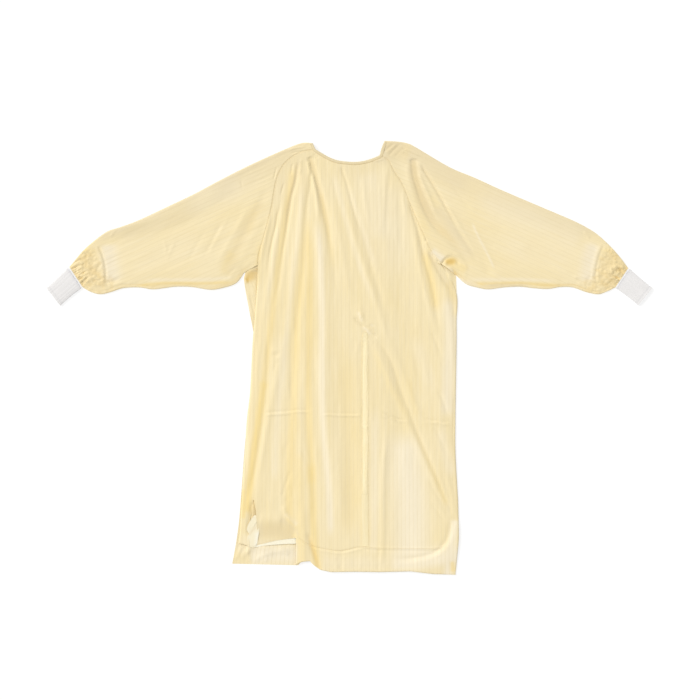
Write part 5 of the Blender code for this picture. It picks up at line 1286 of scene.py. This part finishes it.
def back_panel(name, end, inward, side, lap_edge, neck_share, hem_lap, raised, area):
    k = spread(list(range(len(TOP_SHARES))), [7] * 12)
    armhole = back_low_at(end, k)
    away = turn(armhole) * inward
    armhole = armhole - away * 0.30 * (1 - ease((k - 9) / 2.5))[:, None] + away * 0.04
    late = ease((k - 9) / 3)
    armhole[:, 0] += inward * 0.30 * late
    steps = spread(list(range(len(side))), [16] * (len(side) - 1))
    outer = np.concatenate([armhole, smooth_rows(side, steps)])
    down = np.concatenate([[0], np.cumsum(np.hypot(*np.diff(outer, axis=0).T))])
    down /= down[-1]
    share = spread([0, 0.05, 0.95, 1.0], [5, 74, 5])
    neck = np.array(sorted(along(BACK_NECK, np.linspace(*neck_share, 40)).tolist()))
    rows = []
    for (x0, y0), dd in zip(outer, down):
        xs = x0 + (lap_edge - x0) * share
        level = ease(dd / 0.30)
        neck_y = np.interp(xs, neck[:, 0], neck[:, 1])
        flat_y = y0 + (hem_lap - side[-1][1]) * share * dd
        drop = (outer[0][1] - neck_y) * (1 - level) * ease(np.abs(xs - x0) / 1.6)
        rows.append(np.stack([xs, flat_y - drop], 1))
    pts = np.array(rows)
    if raised:
        # its hem is drawn up a little where the front hem is
        pts[..., 1] += 1.55 * np.exp(-((pts[..., 0] + 11.4) / 1.7) ** 4) * ease((-50.2 - pts[..., 1]) / 4.6)
    a, d = to_units(pts[..., 0], pts[..., 1])
    edge = np.minimum(np.abs(pts[..., 0] - pts[:, :1, 0]), 9)
    z = THIN / 2 + 0.00004 + back_relief(a, d, area) * ease(edge / 2.5) * 0.8
    if raised:
        z = z + lap_height(pts[..., 0])
    arm = np.zeros(z.shape)
    arm[:len(k)] = (1 - ease((k - 10) / 2))[:, None]
    z = z + 0.00085 * arm * (1 - ease((edge - 0.35) / 0.8))
    # the outer edge turns up to meet the front panel
    side_up = np.zeros(z.shape)
    side_up[len(k) + 10:] = 1
    z = z + 0.0005 * side_up * (1 - ease(edge / 0.7))
    # hem band with its stitch line
    to_hem = (d - to_units(pts[-1:, :, 0], pts[-1:, :, 1])[1]) * -1
    z = z + (0.00030 * ease(1 - (to_hem - 20) / 1.0) - 0.00025 * np.exp(-((to_hem - 20) / 0.8) ** 2)) * ease((d - 500) / 20) * 0.6
    shown = np.zeros(z.shape)
    if raised:
        # the part that shows at the lower left has its own soft folds
        shown = fold_field(a.ravel(), d.ravel(), CORNER_FOLDS).reshape(a.shape)
        z = z + np.maximum(shown, -0.0001)
    else:
        shown = fold_field(a.ravel(), d.ravel(), GAP_FOLDS).reshape(a.shape)
        z = z + np.maximum(shown, 0)
    # painted shade in the underarm gaps and the slit
    painted_shade_back = spots(a, d, PAINTED_SHADE_SPOTS_BACK)
    uv_x = pts[..., 0] * CM
    if raised:
        # stripes slant where the side is drawn towards the underarm and curve at the hem
        slant = np.exp(-((a - 250) / 10) ** 2) * ease((d - 262) / 10) * ease((350 - d) / 45)
        uv_x = uv_x + (a - 250) * 0 + slant * (d - 300) * UNIT_CM * CM * -0.36
        bend = np.exp(-((a - 262) / 26) ** 2) * ease((d - 538) / 10)
        uv_x = uv_x + bend * ((d - 545) * UNIT_CM * CM * 0.15)
    uv = np.stack([uv_x, pts[..., 1] * CM], -1)
    st = np.stack([np.abs(to_hem - 20) * 0 + (to_hem - 20) * UNIT_CM * CM, pts[..., 0] * CM], -1)
    # painted light and shade, scaled down on the back panels
    painted_light = painted_light_of(pts) * (np.array([0.5, 1.0, 0.5]) if raised else 0.3)
    return shell(name, lift(pts, z), gown_cloth, THIN,
                 attributes={"cloth": uv, "painted_shade": painted_shade_back, "stitch": st, "painted_light": painted_light})


GAP_FOLDS = [
    (1.9, 2.0, 3.0, .15, .2, [(439, 260), (443, 267), (447.5, 275), (452, 283), (455, 290)]),
    (2.6, 5.0, 4.0, .3, .3, [(444, 264), (450, 276), (455, 290), (456, 300)]),
    (0.9, 1.0, 1.0, .2, .2, [(448, 273), (452, 279), (456, 286)]),
]
CORNER_FOLDS = [
    (1.8, 3.0, 3.5, .15, .5, [(253.2, 496), (253.3, 505), (253.4, 517)]),
    (3.2, 3.0, 2.4, .55, .0, [(243, 273.5), (250, 270), (259, 265)]),
    (2.6, 4.0, 4.5, .02, .1, [(253.5, 494), (253, 510), (252, 525), (252, 545)]),
    (1.5, 3.4, 5.0, .1, .1, [(256, 549.5), (275, 548.5), (300, 548)]),
    (2.2, .9, .9, .2, .2, [(244.8, 274), (245.6, 279), (246.4, 284)]),
    (1.7, 2.6, 3.0, .2, .2, [(240, 562), (247, 551), (258, 547), (268, 551), (274, 560)]),
    (1.3, 2.0, 2.0, .2, .2, [(252, 564), (262, 556), (276, 552), (290, 553)]),
    (1.4, 2.4, 2.0, .2, .2, [(261, 550), (265, 556), (267, 563)]),
    (1.2, 1.6, 1.6, .2, .2, [(246, 550), (249, 556), (250, 563)]),
    (1.8, 1.4, 1.4, .2, .2, [(279, 548), (285, 551), (289, 556)]),
    (2.2, 1.4, 1.6, .2, .2, [(241, 541), (246, 540), (249, 545), (247, 556)]),
    (1.6, 1.4, 1.4, .2, .2, [(236, 560), (239, 552), (243, 545)]),
    (1.6, 1.6, 1.6, .2, .3, [(247, 290), (250, 304), (253, 320)]),
    (1.2, 1.2, 1.2, .2, .3, [(251, 288), (254, 300), (256, 318)]),
]

back_right = back_panel("back_panel_right_cloth", RIGHT_BACK_END, -1, RIGHT_SIDE, RIGHT_LAP_EDGE, (1, 0.22), -56.2, False, "body")
back_left = back_panel("back_panel_left_cloth", LEFT_BACK_END, 1, LEFT_SIDE, LEFT_LAP_EDGE, (0, 0.80), -55.6, True, "body")


# ---------------------------------------------------------------- neck binding
neck_path = np.concatenate([
    along([(-9.85, 56.75), (-9.5, 56.0), (-9.1, 55.1)], np.linspace(0, 1, 12)),
    along(NECKLINE, np.linspace(0, 1, 110))[1:],
    along([(8.1, 53.5), (8.6, 55.4), (9.35, 57.3)], np.linspace(0, 1, 22))[1:]])
for _ in range(3):
    neck_path[1:-1] = (neck_path[:-2] + 2 * neck_path[1:-1] + neck_path[2:]) / 4
inside = -turn(neck_path)
PROFILE = [(0.42, -0.55), (0.25, -0.62), (0.08, -0.60), (-0.03, -0.45), (-0.09, 0.0), (-0.04, 0.42),
           (0.06, 0.62), (0.20, 0.72), (0.35, 0.76), (0.50, 0.74), (0.60, 0.66), (0.67, 0.52)]
band = np.array([neck_path + inside * dist for dist, _ in PROFILE]).transpose(1, 0, 2)
probe = neck_path + inside * 0.35
z_neck, _ = upper(probe[:, 0], probe[:, 1], "body")
wob = lattice(np.arange(len(neck_path)) / 3.1, np.zeros(len(neck_path)) + 2.5, 71) * 0.00018
z_at, _ = upper(band[..., 0], band[..., 1], "body")
# over the ends of the sleeves the binding is pressed flatter
row_n = np.arange(len(neck_path))
pressed = np.maximum(1 - ease((row_n - 8) / 8.0), ease((row_n - len(neck_path) + 26) / 8.0))[:, None]
proud = np.array([p[1] for p in PROFILE])[None, :] * (1 - 0.32 * pressed * (np.array([p[0] for p in PROFILE])[None, :] > 0.3))
z_band = np.where(np.array([p[0] for p in PROFILE])[None, :] < 0.1, z_neck[:, None], z_at) \
    + proud / 1000 + wob[:, None]
run = np.concatenate([[0], np.cumsum(np.hypot(*np.diff(neck_path, axis=0).T))]) * CM
u_band = np.array([p[0] for p in PROFILE]) * CM
uv = np.stack(np.broadcast_arrays(u_band[None, :], run[:, None]), -1)
st = np.stack(np.broadcast_arrays((0.0070 - u_band)[None, :], run[:, None]), -1)
# painted shade along the binding's edge towards the hem, less where it is pressed flat
painted_shade_neck = np.array([0, 0, 0, 0, 0, 0, 0, 0, 0, .1, .3, .45])[None, :] * (1 - pressed)
neck_binding = shell("neck_binding_band", lift(band, z_band), binding_cloth, 0.0005,
                     attributes={"cloth": uv, "painted_shade": painted_shade_neck, "stitch": st})


# ---------------------------------------------------------------- ties
def ribbon(name, rows, widths_along=None, thickness=0.0005, columns_n=9, cup=0.0):
    """A tape through rows of (edge x, edge y, edge z, other x, other y, other z), in
    layout units and millimetres."""
    rows = np.asarray(rows, float)
    length = np.sum(np.linalg.norm(np.diff((rows[:, :2] + rows[:, 3:5]) / 2, axis=0), axis=1)) * UNIT_CM * CM
    n = max(12, int(length / 0.0028))
    k = np.linspace(0, len(rows) - 1, n)
    fine = smooth_rows(rows, k)
    s = np.linspace(0, 1, columns_n)[None, :, None]
    a = np.concatenate([from_units(fine[:, :2]) * CM, fine[:, 2:3] / 1000], 1)[:, None]
    b = np.concatenate([from_units(fine[:, 3:5]) * CM, fine[:, 5:6] / 1000], 1)[:, None]
    pts = a + (b - a) * s
    pts[..., 2] += cup * np.sin(np.pi * s[..., 0]) * 1.0
    mid = pts[:, columns_n // 2]
    run = np.concatenate([[0], np.cumsum(np.linalg.norm(np.diff(mid, axis=0), axis=1))])
    width = np.linalg.norm(b - a, axis=2)
    u = s[..., 0] * 0.016
    edge = np.minimum(u, 0.016 - u)
    uv = np.stack(np.broadcast_arrays(u, run[:, None]), -1)
    st = np.stack(np.broadcast_arrays(edge, run[:, None]), -1)
    return pts, uv, st


def tape_object(name, parts, painted_shade=0.0):
    """One object from one ribbon."""
    pts, uv, st = parts
    a, d = to_units(pts[..., 0] / CM, pts[..., 1] / CM)
    # painted light: paler on the wedge under the corner and on the ribbons at the slit
    painted_light = np.zeros(pts.shape)
    painted_light[..., 1] = 0.85 * ease((a - 252) / 8) * ease((302 - a) / 4) * ease((d - 530) / 5)
    painted_light[..., 1] += 0.50 * ease((262 - a) / 4) * ease((d - 511) / 3) * ease((a - 238) / 4)
    # painted shade along the pleat between the two turns of the ribbon at the slit
    between = np.zeros(a.size)
    sel, gap, share, _ = near_line(a.ravel(), d.ravel(), [(258.4, 524.6), (253.4, 529.6), (248.6, 535.6)], 6.0, 6)
    between[sel] = 0.62 * np.exp(-(gap / 1.25) ** 2) * fades(share, .1, .1)
    return shell(name, pts, tape_cloth, 0.0005,
                 attributes={"cloth": uv, "stitch": st, "painted_shade": painted_shade + between.reshape(a.shape), "painted_light": painted_light})


def straight_tie(name, path_cm, z_of, width=1.7):
    """A hidden tie that lies on the cloth under it."""
    n = 60
    mid = along(path_cm, np.linspace(0, 1, n))
    side = turn(mid) * width / 2
    rows = []
    for m, s in zip(mid, side):
        p, q = m + s, m - s
        (ax, ay), (bx, by) = np.stack(to_units(*p)), np.stack(to_units(*q))
        rows.append((ax, ay, z_of(*p), bx, by, z_of(*q)))
    return tape_object(name, ribbon(name, rows))


def over_cloth(objects):
    from mathutils.bvhtree import BVHTree
    graph = bpy.context.evaluated_depsgraph_get()
    trees = [BVHTree.FromObject(ob, graph) for ob in objects]

    def highest(x, y, reach=0.35):
        best = 0.0
        for ox in (-reach, 0, reach):
            for oy in (-reach, 0, reach):
                for t in trees:
                    hit = t.ray_cast(Vector(((x + ox) * CM, (y + oy) * CM, 1.0)), Vector((0, 0, -1)))[0]
                    if hit is not None:
                        best = max(best, hit.z)
        return best
    return highest


bpy.context.view_layer.update()
over_backs = over_cloth([back_left, back_right])
over_back_right = over_cloth([back_right])
over_front = over_cloth([front])

NECK_TIE_LEFT = [(5.5, 49.6), (5.9, 40.0), (6.1, 30.0), (5.6, 20.0)]
NECK_TIE_RIGHT = [(-5.2, 49.6), (-4.9, 38.0), (-4.6, 26.0), (-4.8, 18.0)]
BACK_TIE_RIGHT = [(-5.3, 5.7), (-4.6, -8.0), (-4.2, -24.0), (-4.4, -40.0)]
neck_tie_left = straight_tie("neck_tie_left_tape", NECK_TIE_LEFT, lambda x, y: over_backs(x, y) * 1000 + 0.5)
neck_tie_right = straight_tie("neck_tie_right_tape", NECK_TIE_RIGHT, lambda x, y: over_back_right(x, y) * 1000 + 0.5)
back_tie_right = straight_tie("back_tie_right_tape", BACK_TIE_RIGHT, lambda x, y: over_back_right(x, y) * 1000 + 0.5)

# inner tie of the left back panel: hidden run, the wedge that shows under the corner,
# then two turns up through the slit
hidden = along([(5.8, 5.7), (5.0, -6.0), (2.0, -20.0), (-3.0, -34.0), (-8.0, -43.5), (-12.2, -47.3)], np.linspace(0, 1, 34))
side = turn(hidden) * 0.85
rows = []
for m, s in zip(hidden, side):
    p, q = m + s, m - s
    z = max(over_backs(*p), over_backs(*q), over_backs(*m)) * 1000 + 0.45
    (ax, ay), (bx, by) = np.stack(to_units(*p)), np.stack(to_units(*q))
    rows.append((ax, ay, z, bx, by, z))
TIE_END = [
    (297, 543.4, 3.9, 297, 536.0, 2.7), (288, 544.0, 3.9, 288, 537.0, 2.7), (276, 544.8, 3.9, 276, 538.6, 2.8),
    (265, 545.8, 4.1, 265, 540.8, 2.9), (257, 547.0, 4.5, 257.4, 542.6, 3.4), (251.8, 547.6, 4.9, 254.2, 544.4, 4.2),
    (247.0, 545.2, 5.6, 254.6, 546.6, 5.2), (247.2, 540.4, 6.0, 257.0, 543.6, 5.4), (248.0, 535.4, 6.3, 257.8, 539.2, 5.8),
    (251.4, 530.6, 6.6, 258.8, 533.6, 6.2), (254.0, 526.0, 6.7, 259.4, 528.2, 6.2), (254.6, 522.0, 6.2, 259.6, 524.0, 5.9),
    (251.6, 526.2, 6.5, 254.6, 530.6, 6.4), (247.0, 530.4, 6.6, 249.4, 534.6, 6.3), (247.2, 526.6, 7.0, 251.6, 530.2, 6.7),
    (249.8, 521.4, 7.3, 254.7, 525.0, 7.1), (252.6, 517.2, 7.4, 257.6, 520.4, 7.2), (254.8, 514.8, 7.0, 258.6, 516.6, 6.8)]
back_tie_left = tape_object("back_tie_left_tape", ribbon("back_tie_left_tape", np.concatenate([np.array(rows), TIE_END])))

# waist tie: tacked at its middle, the longer end under the shorter one
top_y, long_y, short_y = 332.5, 546.0, 494.0


def tie_rows(down, centre, half, gap_mm):
    rows = []
    for y, c, h in zip(down, centre, half):
        z = over_front(*from_units([c, y]), 0.1) * 1000 + gap_mm
        rows.append((c - h, y, z, c + h, y, z))
    return rows


down = np.linspace(long_y, top_y + 5.5, 74)
wave = 0.35 * np.sin(down / 21.0) + 0.2 * np.sin(down / 7.7)
long_rows = tie_rows(down, 365.0 + wave * 0.5, 3.35 - 1.3 * ease((338 - down) / 6), 0.45)
up = np.linspace(top_y + 5.5, short_y, 54)
wave2 = 0.3 * np.sin(up / 17.0 + 1.0) + 0.25 * np.sin(up / 4.3)
half_up = 2.75 - 0.9 * ease((338 - up) / 6) + 0.2 * np.sin(up / 5.1 + 2.0)
short_rows = tie_rows(up, 364.8 + wave2, half_up, 1.15)
zt = long_rows[-1][2]
turn_rows = [(363.0, 333.2, zt + 0.2, 367.6, 334.2, zt + 0.2), (363.2, 332.2, zt + 0.25, 367.6, 332.8, zt + 0.25),
             (363.0, 333.2, zt + 0.5, 367.4, 334.2, zt + 0.5)]
pts, uv, st = ribbon("waist_tie_tape", np.concatenate([long_rows, turn_rows, short_rows]))
# both ends drape over the cloth, edges down, and the upper end over the lower one
share_row = np.linspace(0, 1, pts.shape[0])
cross = np.linspace(-1, 1, pts.shape[1])
n_long, n_turn, n_short = len(long_rows), len(turn_rows), len(short_rows)
total_rows = n_long + n_turn + n_short - 1
for i in range(pts.shape[0]):
    at = share_row[i] * total_rows
    crown = 0.55 * (1 - np.abs(cross) ** 2.2)
    rumple = 0.16 * math.sin(i * 0.9) * np.sin(cross * 2.3 + i * 0.37) + 0.10 * math.sin(i * 2.1)
    for j in range(pts.shape[1]):
        x, y = pts[i, j, :2] / CM
        if at < n_long - 2:
            pts[i, j, 2] = over_front(x, y, 0.05) + (0.24 + 0.36 * crown[j] + 0.25 * abs(rumple[j])) / 1000
        elif at > n_long + n_turn + 1:
            d_here = to_units(x, y)[1]
            kink = 0.6 * math.exp(-((d_here - 427.8) / 1.3) ** 2) - 0.40 * math.exp(-((d_here - 425.0) / 1.0) ** 2)
            pts[i, j, 2] = over_front(x, y, 0.05) + (0.78 + 0.50 * crown[j] + 0.45 * rumple[j] + kink) / 1000
waist_tie = tape_object("waist_tie_tape", (pts, uv, st))

# ---------------------------------------------------------------- pieces on the body, their CAD parts hidden
pairs = [(front, "front_panel", "gown_cloth"), (left_sleeve, "sleeve_left", "gown_cloth"),
         (right_sleeve, "sleeve_right", "gown_cloth"), (left_cuff, "cuff_left", "cuff_knit"),
         (right_cuff, "cuff_right", "cuff_knit"), (back_left, "back_panel_left", "gown_cloth"),
         (back_right, "back_panel_right", "gown_cloth"), (neck_binding, "neck_binding", "neck_binding"),
         (waist_tie, "waist_tie", "tie_tape"), (back_tie_left, "back_tie_left", "tie_tape"),
         (back_tie_right, "back_tie_right", "tie_tape"), (neck_tie_left, "neck_tie_left", "tie_tape"),
         (neck_tie_right, "neck_tie_right", "tie_tape")]
for piece, node, slot in pairs:
    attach(piece, "root")
    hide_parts(node)

# ---------------------------------------------------------------- floor, light, camera
g = Graph("floor_pale")
tone = g.noise(g.node("ShaderNodeTexCoord").outputs["Object"], 3.0, 2.0)
g.link(g.mix(g.ramp(tone, 0.3, 0.7), (0.345, 0.345, 0.345), (0.335, 0.335, 0.335)), g.shader.inputs["Base Color"])
g.shader.inputs["Emission Color"].default_value = (1.0, 1.0, 1.0, 1.0)
g.shader.inputs["Emission Strength"].default_value = 0.70
g.shader.inputs["Roughness"].default_value = 0.95
g.shader.inputs["Specular IOR Level"].default_value = 0.1
mesh = bpy.data.meshes.new("floor")
mesh.from_pydata([(-7, -7, -0.0004), (7, -7, -0.0004), (7, 7, -0.0004), (-7, 7, -0.0004)], [], [(0, 1, 2, 3)])
mesh.materials.append(g.mat)
floor = bpy.data.objects.new("floor", mesh)
bpy.context.scene.collection.objects.link(floor)

world = bpy.data.worlds.new("studio")
world.use_nodes = True
world.node_tree.nodes["Background"].inputs["Color"].default_value = (1.0, 0.99, 0.975, 1.0)
world.node_tree.nodes["Background"].inputs["Strength"].default_value = 0.665
bpy.context.scene.world = world

sun = bpy.data.lights.new("key", "SUN")
sun.energy = 1.73
sun.angle = math.radians(26)
sun.color = (1.0, 0.995, 0.985)
key = bpy.data.objects.new("key", sun)
bpy.context.scene.collection.objects.link(key)
key.rotation_euler = Vector((-0.84, 0.54, 0.85)).to_track_quat("Z", "Y").to_euler()

view = bpy.data.cameras.new("camera")
view.lens = 120
view.sensor_width = 36
camera = bpy.data.objects.new("camera", view)
bpy.context.scene.collection.objects.link(camera)
camera.location = (0.0013, 0.0199, 1.855 * 120 / 36 + 0.008)
view.clip_end = 50
bpy.context.scene.camera = camera
bpy.context.scene.view_settings.view_transform = "Standard"
